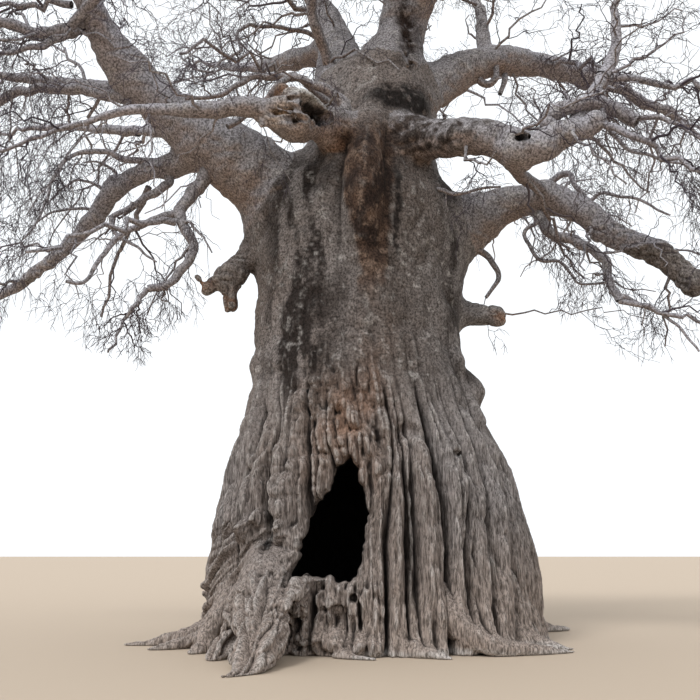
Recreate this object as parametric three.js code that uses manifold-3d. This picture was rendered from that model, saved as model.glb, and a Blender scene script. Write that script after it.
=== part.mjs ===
// A bare, very old baobab tree in its dry season: a fluted trunk with a hollow and a doorway,
// great boughs that spring from its shoulders, and a mass of bare twigs at the end of each bough.
// Millimetres, +Z up. The origin is the middle of the flat cut at ground level; the front faces -Y.

import * as THREE from "three";
import { mergeVertices } from "three/addons/utils/BufferGeometryUtils.js";
import Module from "manifold-3d";

const wasm = await Module();
wasm.setup();

// Driving dimensions. Lengths below are in metres and become millimetres through METRE.
const METRE = 1000;
const GAP = 0.0003;
const SIMPLIFY = 0.0002;
const SEAT_MARGIN = 0.03;
const SEAT_STEP = 0.01;
const RIM_POINTS = 12;
const SLACK = 1e-6;

// The trunk: height, middle in x, half width and half depth at that height.
const TRUNK_PROFILE = [
  [0.0, 0.0, 3.25, 2.95],
  [1.2, 0.0, 3.2, 2.8],
  [2.4, 0.0, 3.05, 2.66],
  [3.5, -0.04, 2.8, 2.5],
  [4.7, -0.16, 2.46, 2.3],
  [6.0, -0.24, 2.29, 2.12],
  [7.3, -0.24, 2.28, 2.05],
  [8.4, -0.2, 2.36, 2.1],
  [9.2, -0.16, 2.22, 2.08],
  [10.0, -0.1, 1.84, 1.84],
  [10.8, 0.0, 1.52, 1.6],
  [12.2, 0.2, 1.38, 1.3],
  [12.9, 0.2, 1.1, 1.0],
  [13.2, 0.2, 0.6, 0.55],
];
const TRUNK_TOP = 13.2;
const TRUNK_ROWS = 18;
const ROW_CROWDING = 1.15;

// The folds between the fluted columns of the foot: azimuth from the front towards +X, in degrees, at
// each of FOLD_HEIGHTS, and how deep the fold is cut.
const FOLD_HEIGHTS = [0, 1.8, 3.6];
const FRONT_FOLDS = [
  [-92, -88, -85, 0.12],
  [-80, -75, -72, 0.22],
  [-64, -57, -55, 0.2],
  [-49, -41, -43, 0.22],
  [-28, -27, -28, 0.24],
  [3.6, 4.6, 10, 0.2],
  [11.2, 12.8, 13.8, 0.14],
  [15.2, 16.2, 16.8, 0.1],
  [25, 28, 27, 0.6],
  [34.5, 36.4, 41, 0.1],
  [44, 47, 51, 0.22],
  [53.5, 60.5, 62, 0.26],
  [65, 70, 72, 0.22],
  [76, 79, 81, 0.22],
  [88, 90, 91, 0.2],
];
const BACK_FOLDS = 13;
const BACK_FROM = 102;
const BACK_TO = 256;
const BACK_SWAY = 3;
const BACK_DEPTH = 0.16;

// How far a column stands out between its folds, as a share of its width and at most.
const COLUMN_ROUNDNESS = 0.48;
const COLUMN_MOST = 0.3;
const COLUMN_INSET = 0.08;
const FOLD_SHARPNESS = 4;
const WIDE_COLUMN = 12;
const WIDE_SHARES = [0.25, 0.75];
const COLUMNS_FULL_BELOW = 2.6;
const COLUMNS_GONE_ABOVE = 5.4;
const COLUMNS_LEFT_ABOVE = 0.2;

// The wall with the doorway, which lies flat between the fold at this azimuth and the next.
const WALL_AZIMUTH = -27;
const WALL_MOST = 0.05;

// The bare ridge that runs down the front from the two front boughs.
const RIDGE_AZIMUTH = 3;
const RIDGE_FOOT = 6.8;
const RIDGE_HEAD = 10.4;
const RIDGE_END = 11.8;
const RIDGE_BULGE = 0.5;
const RIDGE_HALF_WIDTH = 15;

// The foot spreads where it meets the ground.
const SPREAD_HEIGHT = 1.1;
const SPREAD_REACH = 0.1;

// The doorway's outline as seen from the front, and the hollow behind it.
const DOOR_SILL = 1.25;
const DOOR_APEX = [-0.42, 3.45];
const DOOR_LEFT = [[-1.5, DOOR_SILL], [-1.36, 1.9], [-1.12, 2.45], [-0.82, 2.85], [-0.66, 3.22]];
const DOOR_RIGHT = [[-0.28, 3.22], [-0.17, 2.88], [-0.08, 2.4], [-0.14, 1.9], [-0.28, DOOR_SILL]];
const DOOR_FRONT = -4.2;
const DOOR_BACK = -1.4;
const HOLLOW_MIDDLE = [-0.6, -0.55];
const HOLLOW_STRETCH = [1.15, 1.3];
const HOLLOW_PROFILE = [[0, 1.15], [1.0, 1.15], [1.08, 2.2], [0.9, 3.4], [0.45, 4.3], [0, 4.6]];
const HOLLOW_SIDES = 14;

// Root feet that spread on the ground and the broken stumps of lost boughs, all part of the trunk:
// start, end, bow at the middle, and radius at each end.
const TRUNK_SPURS = [
  { from: [-1.95, -2.1, 0.75], to: [-1.98, -5.35, -0.1], bow: [0.08, 0, 0.1], girth: [0.72, 0.18] },
  { from: [-2.7, -0.6, 0.5], to: [-4.75, -1.1, -0.06], bow: [0, 0.1, 0.02], girth: [0.5, 0.12] },
  { from: [1.0, -2.3, 0.35], to: [3.6, -2.25, -0.05], bow: [0, -0.3, 0], girth: [0.5, 0.1] },
  { from: [-1.7, 0.1, 8.5], to: [-3.3, -0.62, 7.45], bow: [-0.12, 0, 0.04], girth: [0.4, 0.18] },
  { from: [-3.05, -0.5, 7.7], to: [-3.0, -0.52, 6.85], bow: [-0.03, 0, 0], girth: [0.12, 0.06] },
  { from: [1.2, 0.0, 6.9], to: [2.95, 0.0, 6.88], bow: [0, 0, 0], girth: [0.34, 0.28] },
  { from: [1.9, 0.3, 8.35], to: [2.96, 0.0, 7.85], bow: [0.15, 0, 0.12], girth: [0.14, 0.1] },
  { from: [2.96, 0.0, 7.94], to: [2.62, 0.0, 7.3], bow: [0.14, 0, 0], girth: [0.1, 0.05] },
];
const SPUR_SIDES = 7;
const SPUR_STEPS = 3;

// Each bough is one tapering limb. It starts on the trunk at a point inside it, or at a share of the
// length of the bough that carries it, where 1 is that bough's tip. bow is how far its middle stands
// off the straight line, and girth gives the radius at its root and at its tip.
const BOUGHS = [
  { name: "bough_left_great", parent: "trunk", from: [-0.9, 0.1, 8.8], to: [-5.3, -1.6, 12.0],
    bow: [0.05, 0, -0.12], girth: [1.2, 0.43] },
  { name: "bough_left_great_outer", parent: "bough_left_great", share: 1, to: [-7.5, -4.5, 14.9],
    bow: [0.1, -0.1, -0.15], girth: [0.42, 0.14] },
  { name: "bough_left_level", parent: "bough_left_great", share: 0.8, to: [-9.9, -0.7, 12.4],
    bow: [0, 0.1, 0.5], girth: [0.2, 0.08] },
  { name: "bough_left_rear", parent: "bough_left_great", share: 0.66, to: [-9.6, 3.2, 13.4],
    bow: [0.1, 0.3, 0.3], girth: [0.18, 0.08] },
  { name: "bough_left_low", parent: "bough_left_great", share: 0.58, to: [-5.9, -0.2, 9.95],
    bow: [0, 0.05, 0.1], girth: [0.32, 0.22] },
  { name: "bough_left_low_outer", parent: "bough_left_low", share: 1, to: [-9.9, 1.4, 7.6],
    bow: [0.2, 0, -0.55], girth: [0.22, 0.1] },
  { name: "bough_left_hook", parent: "bough_left_great", share: 0.52, to: [-4.1, -1.3, 7.6],
    bow: [-0.28, 0, 0.1], girth: [0.18, 0.09] },
  { name: "bough_torn", parent: "trunk", from: [0.25, -0.9, 10.55], to: [-1.6, -2.5, 10.35],
    bow: [-0.05, -0.15, 0.1], girth: [0.52, 0.36] },
  { name: "bough_torn_outer", parent: "bough_torn", share: 1, to: [-5.6, -3.4, 9.75],
    bow: [0, -0.2, 0.22], girth: [0.24, 0.07] },
  { name: "bough_right_front", parent: "trunk", from: [0.15, -0.9, 10.7], to: [2.96, -2.8, 9.5],
    bow: [0.05, -0.2, 0.15], girth: [0.52, 0.33] },
  { name: "bough_right_front_outer", parent: "bough_right_front", share: 1, to: [4.4, -3.2, 9.9],
    bow: [0, 0, -0.06], girth: [0.32, 0.2] },
  { name: "bough_right_front_rise", parent: "bough_right_front_outer", share: 0.3,
    to: [5.3, -2.3, 13.2], bow: [0.35, 0, -0.4], girth: [0.23, 0.1] },
  { name: "bough_right_great", parent: "trunk", from: [0.7, 0.15, 8.35], to: [3.98, -0.6, 9.5],
    bow: [0, 0, 0.2], girth: [0.95, 0.33] },
  { name: "bough_right_great_middle", parent: "bough_right_great", share: 1, to: [6.7, -1.5, 7.15],
    bow: [0.1, 0, 0.12], girth: [0.33, 0.24] },
  { name: "bough_right_great_outer", parent: "bough_right_great_middle", share: 1,
    to: [10.3, -2.3, 8.9], bow: [0, 0, -0.3], girth: [0.24, 0.11] },
  { name: "bough_right_hanging", parent: "bough_right_great_middle", share: 0.12,
    to: [5.2, -1.5, 6.85], bow: [-0.3, -0.1, -0.1], girth: [0.15, 0.08] },
  { name: "bough_pillar", parent: "trunk", from: [0.45, -0.5, 11.6], to: [0.85, -0.35, 15.2],
    bow: [0.08, 0, 0], girth: [0.85, 0.45] },
  { name: "bough_pillar_left", parent: "bough_pillar", share: 1, to: [-0.2, -0.6, 18.7],
    bow: [0.2, 0, 0], girth: [0.42, 0.13] },
  { name: "bough_pillar_right", parent: "bough_pillar", share: 0.72, to: [3.0, -3.0, 17.8],
    bow: [0.1, 0.2, -0.25], girth: [0.4, 0.12] },
  { name: "bough_pillar_front", parent: "bough_pillar", share: 0.86, to: [-1.3, -5.2, 16.7],
    bow: [0.1, 0.1, -0.25], girth: [0.3, 0.11] },
  { name: "bough_top_left", parent: "trunk", from: [-0.5, 0.25, 11.6], to: [-2.3, 1.3, 18.0],
    bow: [0.45, 0, 0], girth: [0.85, 0.15] },
  { name: "bough_upper_right", parent: "trunk", from: [0.8, -0.1, 12.1], to: [6.0, 1.8, 14.15],
    bow: [-0.2, 0, 0.75], girth: [0.6, 0.27] },
  { name: "bough_upper_right_outer", parent: "bough_upper_right", share: 1, to: [9.4, 3.0, 13.0],
    bow: [0, 0, 0.25], girth: [0.26, 0.1] },
  { name: "bough_upper_right_rise", parent: "bough_upper_right", share: 0.48, to: [2.6, 1.6, 17.8],
    bow: [0.1, 0, 0], girth: [0.2, 0.08] },
  { name: "bough_back_left", parent: "trunk", from: [-0.6, 0.6, 9.4], to: [-6.4, 6.0, 15.2],
    bow: [0.1, 0.1, 0.1], girth: [0.85, 0.14] },
  { name: "bough_back", parent: "trunk", from: [0.1, 0.8, 9.9], to: [-0.7, 8.8, 11.8],
    bow: [0.4, 0, 0.7], girth: [0.9, 0.14] },
  { name: "bough_back_right", parent: "trunk", from: [0.8, 0.7, 9.0], to: [7.2, 6.6, 12.3],
    bow: [-0.1, 0.1, 0.55], girth: [0.85, 0.14] },
  { name: "bough_back_high_left", parent: "bough_top_left", share: 0.42, to: [-4.6, 5.2, 16.8],
    bow: [-0.1, 0, -0.3], girth: [0.36, 0.1] },
  { name: "bough_back_high_right", parent: "trunk", from: [-0.1, 0.6, 11.9], to: [3.8, 5.8, 16.7],
    bow: [-0.3, 0.2, -0.2], girth: [0.55, 0.1] },
];
const TAPER = 1.35;
const GNARL = 0.07;
const GNARL_TURNS = [9, 10.8, 8.1];
const THICK = 0.3;
const LIMB_SAMPLES = 40;
const THICK_LIMB = { sides: 9, steps: 7, collarSteps: 2 };
const THIN_LIMB = { sides: 6, steps: 6, collarSteps: 1 };
const STEM_COLLAR = { sides: 5, collarSteps: 1 };

// Each mass of twigs branches from one stem, which leaves a bough or the trunk. aim is the way the
// stem sets out, reach its length, sag how far its tips hang (or rise, below 0), girth its radius.
const MASSES = [
  { name: "twigs_left_great", parent: "bough_left_great_outer", share: 1,
    aim: [-0.7, -0.5, 0.5], reach: 3.2, sag: 0.05 },
  { name: "twigs_left_great_under", parent: "bough_left_great_outer", share: 0.35,
    aim: [-0.9, 0, 0.1], reach: 2.6, sag: 0.3 },
  { name: "twigs_left_level", parent: "bough_left_level", share: 1,
    aim: [-1, 0, 0.1], reach: 3.0, sag: 0.3 },
  { name: "twigs_left_rear", parent: "bough_left_rear", share: 1,
    aim: [-0.8, 0.5, 0.2], reach: 3.0, sag: 0.2 },
  { name: "twigs_left_low", parent: "bough_left_low_outer", share: 1,
    aim: [-0.9, 0.3, 0], reach: 2.8, sag: 0.35 },
  { name: "twigs_left_low_under", parent: "bough_left_low", share: 0.6,
    aim: [-0.5, 0.6, -0.5], reach: 2.9, sag: 0.4 },
  { name: "twigs_hook", parent: "bough_left_hook", share: 1,
    aim: [-0.5, -0.1, -0.8], reach: 2.2, sag: 0.3 },
  { name: "twigs_hook_side", parent: "bough_left_hook", share: 0.5,
    aim: [-0.8, -0.6, -0.1], reach: 2.9, sag: 0.4 },
  { name: "twigs_torn", parent: "bough_torn_outer", share: 1,
    aim: [-0.9, -0.2, -0.3], reach: 2.4, sag: 0.35 },
  { name: "twigs_front_left", parent: "trunk", from: [-0.5, -0.9, 11.4],
    aim: [-0.8, -0.5, 0.35], reach: 3.9, sag: 0.3 },
  { name: "twigs_right_front", parent: "bough_right_front_rise", share: 1,
    aim: [0.4, -0.4, 0.8], reach: 2.8, sag: 0.05 },
  { name: "twigs_right_front_level", parent: "bough_right_front_rise", share: 0.6,
    aim: [0.9, -0.1, -0.1], reach: 3.4, sag: 0.25 },
  { name: "twigs_right_front_low", parent: "bough_right_front_outer", share: 1,
    aim: [0.7, -0.4, -0.5], reach: 2.8, sag: 0.3 },
  { name: "twigs_right_hump", parent: "bough_right_front", share: 0.78,
    aim: [0.5, 0.4, -0.3], reach: 2.3, sag: 0.25 },
  { name: "twigs_right_great", parent: "bough_right_great_outer", share: 1,
    aim: [0.9, -0.2, 0.3], reach: 2.8, sag: 0.15 },
  { name: "twigs_right_hanging", parent: "bough_right_hanging", share: 1,
    aim: [0.9, -0.3, -0.25], reach: 2.6, sag: 0.25 },
  { name: "twigs_stump", parent: "trunk", from: [2.4, 0.0, 6.93], seat: 0.19,
    aim: [1, 0, 0.03], reach: 3.2, sag: 0.03 },
  { name: "twigs_pillar_left", parent: "bough_pillar_left", share: 1,
    aim: [-0.4, -0.1, 0.9], reach: 1.9, sag: 0.1 },
  { name: "twigs_pillar_right", parent: "bough_pillar_right", share: 1,
    aim: [0.6, -0.5, 0.6], reach: 2.8, sag: 0.15 },
  { name: "twigs_pillar_front", parent: "bough_pillar_front", share: 1,
    aim: [-0.3, -0.9, 0.1], reach: 3.0, sag: 0.3 },
  { name: "twigs_top_left", parent: "bough_top_left", share: 1,
    aim: [-0.6, 0.3, 0.6], reach: 2.4, sag: 0.1 },
  { name: "twigs_top_left_side", parent: "bough_top_left", share: 0.5,
    aim: [-0.9, -0.5, 0.4], reach: 3.6, sag: 0.2 },
  { name: "twigs_upper_right", parent: "bough_upper_right_outer", share: 1,
    aim: [0.9, 0.3, 0.0], reach: 2.9, sag: 0.3 },
  { name: "twigs_upper_right_under", parent: "bough_upper_right", share: 0.75,
    aim: [0.4, -0.6, -0.3], reach: 2.6, sag: 0.3 },
  { name: "twigs_upper_right_rise", parent: "bough_upper_right_rise", share: 1,
    aim: [0.5, 0.3, 0.7], reach: 2.2, sag: 0.05 },
  { name: "twigs_back_left", parent: "bough_back_left", share: 1,
    aim: [-0.7, 0.7, 0.1], reach: 3.0, sag: 0.3 },
  { name: "twigs_back", parent: "bough_back", share: 1,
    aim: [-0.1, 1, 0.1], reach: 3.0, sag: 0.3 },
  { name: "twigs_back_right", parent: "bough_back_right", share: 1,
    aim: [0.7, 0.7, 0.1], reach: 3.0, sag: 0.3 },
  { name: "twigs_back_high_left", parent: "bough_back_high_left", share: 1,
    aim: [-0.5, 0.6, 0.5], reach: 2.8, sag: 0.1 },
  { name: "twigs_back_high_right", parent: "bough_back_high_right", share: 1,
    aim: [0.5, 0.6, 0.5], reach: 2.8, sag: 0.1 },
];
const STEM_RADIUS_MAX = 0.085;
const STEM_SHARE_OF_TIP = 0.8;
const MIDDLE_SHARE = 0.6;
const TWIGS_PER_LEVEL = [5, 2];
const LENGTH_RATIO = [0.62, 0.55];
const RADIUS_RATIO = 0.42;
const STEPS_PER_LEVEL = [3, 2, 1];
const GOLDEN_ANGLE = 137.5;
const LEAN_LOW = 34;
const LEAN_SPAN = 24;
const FIRST_SIDE_TWIG = 0.16;
const SIDE_TWIG_SPAN = 0.8;
const LENGTH_AT_ROOT = 1.15;
const LENGTH_LOSS = 0.45;
const LENGTH_SPREAD = 0.4;
const RADIUS_LOSS = 0.75;
const WANDER = 0.3;
const SAG_SHARE = 0.8;
const TWIG_CLEARANCE = 0.1;
const SPACE_CLEARANCE = 0.22;
const SPACE_REACH = 1.15;
const ID_STEP = 9;
const SEED_STEP = 0.37;
const FIT_SHARES = [0.3, 0.5, 0.7, 0.85, 1];

// The crown's lower edge as it is seen from EDGE_EYE: x and height, at EDGE_DEPTH in y.
const EDGE_EYE = [-0.43, -17.3, 1.7];
const EDGE_DEPTH = -1.5;
const CROWN_EDGE = [
  [-14, 5.8], [-8.0, 5.8], [-7.2, 6.3], [-6.2, 5.8], [-5.2, 5.5], [-4.6, 5.15], [-4.0, 6.0],
  [-2.7, 6.5], [2.3, 5.2], [3.1, 5.9], [4.4, 6.4], [5.2, 5.3], [7.0, 5.5], [14, 5.8],
];

const BARK_COLOUR = 0x8b7e74;
const BOUGH_COLOUR = 0x90857a;
const TWIG_COLOUR = 0x6d6460;
const ROUGH = 0.92;

const FULL_TURN = Math.PI * 2;
const UP = new THREE.Vector3(0, 0, 1);
const SIDE = new THREE.Vector3(1, 0, 0);

// A repeatable number from 0 to 1 for a seed and an index.
function chance(seed, index) {
  const wave = Math.sin(seed * 12.9898 + index * 78.233) * 43758.5453;
  return wave - Math.floor(wave);
}

function radians(degrees) {
  return THREE.MathUtils.degToRad(degrees);
}

function point(values) {
  return new THREE.Vector3(...values);
}

// A smooth 0 to 1 step between two heights or angles.
function ease(low, high, value) {
  return THREE.MathUtils.smoothstep(value, low, high);
}

// A rounded bump: 1 at offset 0, 0 beyond the half width.
function bump(offset, halfWidth) {
  const share = Math.min(1, Math.abs(offset) / halfWidth);
  return (1 - share * share) ** 2;
}

// The signed difference of two azimuths in degrees, from -180 to 180.
function turnBetween(a, b) {
  return ((a - b + 540) % 360) - 180;
}

const profileCurve = new THREE.CubicInterpolant(
  TRUNK_PROFILE.map((row) => row[0]),
  TRUNK_PROFILE.flatMap((row) => row.slice(1)),
  3,
);

function foldsRound() {
  const folds = [...FRONT_FOLDS];
  const pitch = (BACK_TO - BACK_FROM) / (BACK_FOLDS - 1);
  for (let i = 0; i < BACK_FOLDS; i += 1) {
    const azimuth = BACK_FROM + pitch * (i + 0.5 * (chance(3, i) - 0.5));
    const sway = BACK_SWAY * (chance(5, i) - 0.5);
    const depth = BACK_DEPTH * (0.5 + chance(4, i));
    folds.push([azimuth, azimuth + sway, azimuth + 2 * sway, depth]);
  }
  return folds;
}

const FOLDS = foldsRound();

function foldAzimuth(fold, height) {
  const [ground, knee, top] = fold;
  if (height < FOLD_HEIGHTS[1]) {
    return THREE.MathUtils.mapLinear(height, FOLD_HEIGHTS[0], FOLD_HEIGHTS[1], ground, knee);
  }
  const level = Math.min(height, FOLD_HEIGHTS[2]);
  return THREE.MathUtils.mapLinear(level, FOLD_HEIGHTS[1], FOLD_HEIGHTS[2], knee, top);
}

// The azimuths of the fold that a column starts at and of the next one, at a height.
function columnBetween(index, height) {
  const start = foldAzimuth(FOLDS[index], height);
  const next = (index + 1) % FOLDS.length;
  const end = foldAzimuth(FOLDS[next], height) + (next === 0 ? 360 : 0);
  return [start, end];
}

// The upright lines of vertices round the trunk: one in each fold, one or two on each column.
function linesRound() {
  const lines = [];
  for (let index = 0; index < FOLDS.length; index += 1) {
    const [start, end] = columnBetween(index, FOLD_HEIGHTS[1]);
    const crests = end - start > WIDE_COLUMN ? WIDE_SHARES : [0.5];
    for (const share of [0, ...crests]) {
      lines.push({ index, share });
    }
  }
  return lines;
}

const LINES = linesRound();

function lineAzimuth(line, height) {
  const [start, end] = columnBetween(line.index, height);
  return start + (end - start) * line.share;
}

// How far a column stands out at a share of its width. Its folds are at 0 and 1.
function columnBulge(index, share, width, reach) {
  const depth = FOLDS[index][3];
  const nextDepth = FOLDS[(index + 1) % FOLDS.length][3];
  const most = FOLDS[index][1] === WALL_AZIMUTH ? WALL_MOST : COLUMN_MOST;
  const bulge = Math.min(COLUMN_ROUNDNESS * radians(width) * reach, most);
  const toFold = Math.max(0, 1 - 2 * share) ** FOLD_SHARPNESS;
  const toNextFold = Math.max(0, 2 * share - 1) ** FOLD_SHARPNESS;
  return bulge * Math.sqrt(4 * share * (1 - share)) - depth * toFold - nextDepth * toNextFold;
}

// How far the bark stands out of the plain oval, which reaches that far from the axis.
function relief(azimuth, height, plain) {
  const fade = 1 - (1 - COLUMNS_LEFT_ABOVE) * ease(COLUMNS_FULL_BELOW, COLUMNS_GONE_ABOVE, height);
  let out = SPREAD_REACH * Math.max(0, 1 - height / SPREAD_HEIGHT) ** 2 - COLUMN_INSET * fade;
  for (let index = 0; index < FOLDS.length; index += 1) {
    const [start, end] = columnBetween(index, height);
    const turn = THREE.MathUtils.euclideanModulo(azimuth - start + SLACK, 360) - SLACK;
    if (turn < end - start - SLACK) {
      const share = THREE.MathUtils.clamp(turn / (end - start), 0, 1);
      out += fade * columnBulge(index, share, end - start, plain);
    }
  }
  const ridge = bump(turnBetween(azimuth, RIDGE_AZIMUTH), RIDGE_HALF_WIDTH);
  const ridgeShare = ease(RIDGE_FOOT, RIDGE_HEAD, height) * (1 - ease(RIDGE_HEAD, RIDGE_END, height));
  return out + RIDGE_BULGE * ridge * ridgeShare;
}

// A point of the bark. radial is 0 on the axis and 1 on the bark.
function trunkPoint(azimuth, height, radial) {
  const [middle, halfWidth, halfDepth] = profileCurve.evaluate(height);
  const angle = radians(azimuth);
  const plain = (halfWidth * halfDepth) / Math.hypot(halfDepth * Math.sin(angle), halfWidth * Math.cos(angle));
  const reach = radial * (plain + relief(azimuth, height, plain));
  return new THREE.Vector3(middle + reach * Math.sin(angle), -reach * Math.cos(angle), height);
}

// Whether a point is clear of the trunk's bark by a margin.
function clearOfTrunk(place, margin) {
  if (place.z > TRUNK_TOP + margin) {
    return true;
  }
  const height = Math.max(0, Math.min(TRUNK_TOP, place.z));
  const [middle] = profileCurve.evaluate(height);
  const azimuth = THREE.MathUtils.radToDeg(Math.atan2(place.x - middle, -place.y));
  const bark = trunkPoint(azimuth, height, 1);
  const reach = Math.hypot(bark.x - middle, bark.y);
  return Math.hypot(place.x - middle, place.y) > reach + margin;
}

// Moves each vertex of a unit cylinder to place(angle in degrees, share of the height, radial share).
function reshape(sides, rows, place) {
  const shape = new THREE.CylinderGeometry(1, 1, 1, sides, rows);
  const position = shape.attributes.position;
  for (let i = 0; i < position.count; i += 1) {
    const x = position.getX(i);
    const z = position.getZ(i);
    const radial = Math.hypot(x, z) < 0.5 ? 0 : 1;
    const angle = THREE.MathUtils.radToDeg(Math.atan2(x, z));
    const to = place(angle, position.getY(i) + 0.5, radial);
    position.setXYZ(i, to.x, to.y, to.z);
  }
  return shape;
}

// A closed solid for joining and cutting, in metres, from a three.js geometry.
function solid(shape) {
  shape.deleteAttribute("normal");
  shape.deleteAttribute("uv");
  const merged = mergeVertices(shape, 1e-5);
  const mesh = new wasm.Mesh({
    numProp: 3,
    vertProperties: new Float32Array(merged.attributes.position.array),
    triVerts: new Uint32Array(merged.index.array),
  });
  return new wasm.Manifold(mesh);
}

// A curve bowed off the straight line between two points, with a seeded gnarl that is 0 at its ends.
class LimbCurve extends THREE.Curve {
  constructor(from, to, bow, gnarl, seed) {
    super();
    this.from = from;
    this.to = to;
    this.bow = bow;
    this.gnarl = gnarl;
    this.seed = seed;
  }

  getPoint(t, target = new THREE.Vector3()) {
    const window = 4 * t * (1 - t);
    target.lerpVectors(this.from, this.to, t).addScaledVector(this.bow, window);
    const wave = (axis) => Math.sin(GNARL_TURNS[axis] * t + FULL_TURN * chance(this.seed, axis + 1));
    target.x += this.gnarl * window * wave(0);
    target.y += this.gnarl * window * wave(1);
    target.z += this.gnarl * window * wave(2);
    return target;
  }
}

// The direction across a curve that a section's angle is measured from.
function acrossOf(tangent) {
  const guide = Math.abs(tangent.z) > 0.8 ? SIDE : UP;
  return new THREE.Vector3().crossVectors(tangent, guide).normalize();
}

function radiusAt(limb, t) {
  const [root, tip] = limb.girth;
  return tip + (root - tip) * (1 - t) ** TAPER;
}

// The normal of a limb's section. Where a limb goes on from a bough's tip, its first sections turn
// from the plane of that tip to its own way.
function sectionNormal(limb, t) {
  const tangent = limb.curve.getTangent(t);
  if (!limb.facing) {
    return tangent;
  }
  const travelled = (t - limb.start) * limb.curve.getLength();
  const share = Math.max(0, 1 - travelled / (limb.girth[0] * 2));
  return tangent.multiplyScalar(1 - share).addScaledVector(limb.facing, share).normalize();
}

// A tapering limb between two shares of its curve.
function limbSolid(limb, fromShare, toShare, sides, steps) {
  const place = (angle, share, radial) => {
    const t = fromShare + (toShare - fromShare) * share;
    const tangent = sectionNormal(limb, t);
    const across = acrossOf(limb.curve.getTangent((fromShare + toShare) / 2));
    across.addScaledVector(tangent, -across.dot(tangent)).normalize();
    const other = new THREE.Vector3().crossVectors(tangent, across);
    const turn = radians(angle);
    const reach = radial * radiusAt(limb, t);
    return limb.curve.getPoint(t)
      .addScaledVector(across, reach * Math.cos(turn))
      .addScaledVector(other, reach * Math.sin(turn));
  };
  return solid(reshape(sides, steps, place));
}

// The shortest distance from a point to a limb's bark, below 0 inside it.
function distanceToLimb(place, limb) {
  let best = Infinity;
  limb.samples.forEach((sample, i) => {
    const distance = sample.distanceTo(place) - radiusAt(limb, i / (limb.samples.length - 1));
    best = Math.min(best, distance);
  });
  return best;
}

// The share of a limb's curve at which its whole section is clear of what carries it.
function seatShare(limb, carrier) {
  for (let t = SEAT_STEP; t < 1; t += SEAT_STEP) {
    const tangent = limb.curve.getTangent(t);
    const across = acrossOf(tangent);
    const other = new THREE.Vector3().crossVectors(tangent, across);
    let clear = true;
    for (let i = 0; i < RIM_POINTS; i += 1) {
      const turn = (i / RIM_POINTS) * FULL_TURN;
      const rim = limb.curve.getPoint(t)
        .addScaledVector(across, radiusAt(limb, t) * Math.sin(turn))
        .addScaledVector(other, radiusAt(limb, t) * Math.cos(turn));
      const free = carrier === null
        ? clearOfTrunk(rim, SEAT_MARGIN)
        : distanceToLimb(rim, carrier) > SEAT_MARGIN;
      clear = clear && free;
    }
    if (clear) {
      return t;
    }
  }
  throw new Error(`no clear seat for ${limb.name}`);
}

const limbs = new Map();
const collars = new Map([["trunk", []]]);

// Places a limb on its carrier and notes the collar that it grows from.
function plant(row, to, bow, gnarl, girth, seed) {
  const carrier = row.parent === "trunk" ? null : limbs.get(row.parent);
  const from = carrier === null ? point(row.from) : carrier.curve.getPoint(row.share);
  const limb = { name: row.name, girth };
  limb.curve = new LimbCurve(from, to(from), bow, gnarl, seed);
  limb.samples = limb.curve.getPoints(LIMB_SAMPLES);
  if (row.share === 1) {
    limb.facing = carrier.curve.getTangent(1);
    limb.start = GAP / (limb.curve.getLength() * limb.facing.dot(limb.curve.getTangent(0)));
  } else {
    const seat = row.seat ?? seatShare(limb, carrier);
    limb.start = seat + GAP / limb.curve.getLength();
    collars.get(row.parent).push({ limb, seat });
  }
  collars.set(row.name, []);
  return limb;
}

BOUGHS.forEach((row, index) => {
  const limb = plant(row, () => point(row.to), point(row.bow), GNARL, row.girth, index + 11);
  limbs.set(row.name, limb);
});

// The straight start of a twig mass's stem is a short limb of its own.
function plantStem(row, index) {
  const carrier = limbs.get(row.parent);
  const girthThere = carrier ? radiusAt(carrier, row.share) * STEM_SHARE_OF_TIP : STEM_RADIUS_MAX;
  const radius = Math.min(STEM_RADIUS_MAX, girthThere);
  const aim = point(row.aim).normalize();
  const reachOut = (from) => from.clone().addScaledVector(aim, row.reach);
  return plant(row, reachOut, new THREE.Vector3(), 0, [radius, radius], index + 91);
}

const stems = MASSES.map((row, index) => {
  const limb = plantStem(row, index);
  const aim = point(row.aim).normalize();
  const root = limb.curve.getPoint(limb.start);
  const sag = new THREE.Vector3(0, 0, -row.sag);
  const middle = root.clone()
    .addScaledVector(aim, row.reach * MIDDLE_SHARE).addScaledVector(sag, row.reach / 2);
  return { row, root, aim, middle, facing: limb.facing, radius: limb.girth[0], seed: index + 1 };
});

// A twig is an arc: start + length * (t * way + t * t * bend).
function twigPoint(twig, t) {
  return twig.start.clone()
    .addScaledVector(twig.way, twig.length * t)
    .addScaledVector(twig.bend, twig.length * t * t);
}

function twigTangent(twig, t) {
  return twig.way.clone().addScaledVector(twig.bend, 2 * t).normalize();
}

// The point of a twig's own faceted axis, which is straight between its steps.
function facetPoint(twig, t, steps) {
  const step = Math.min(steps - 1, Math.floor(t * steps));
  const low = twigPoint(twig, step / steps);
  const high = twigPoint(twig, (step + 1) / steps);
  return low.lerp(high, t * steps - step);
}

function firstTwig(stem) {
  const bend = new THREE.Vector3(0, 0, -stem.row.sag);
  const length = stem.row.reach;
  return { start: stem.root, way: stem.aim, facing: stem.facing, bend, length, radius: stem.radius, id: 1 };
}

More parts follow.
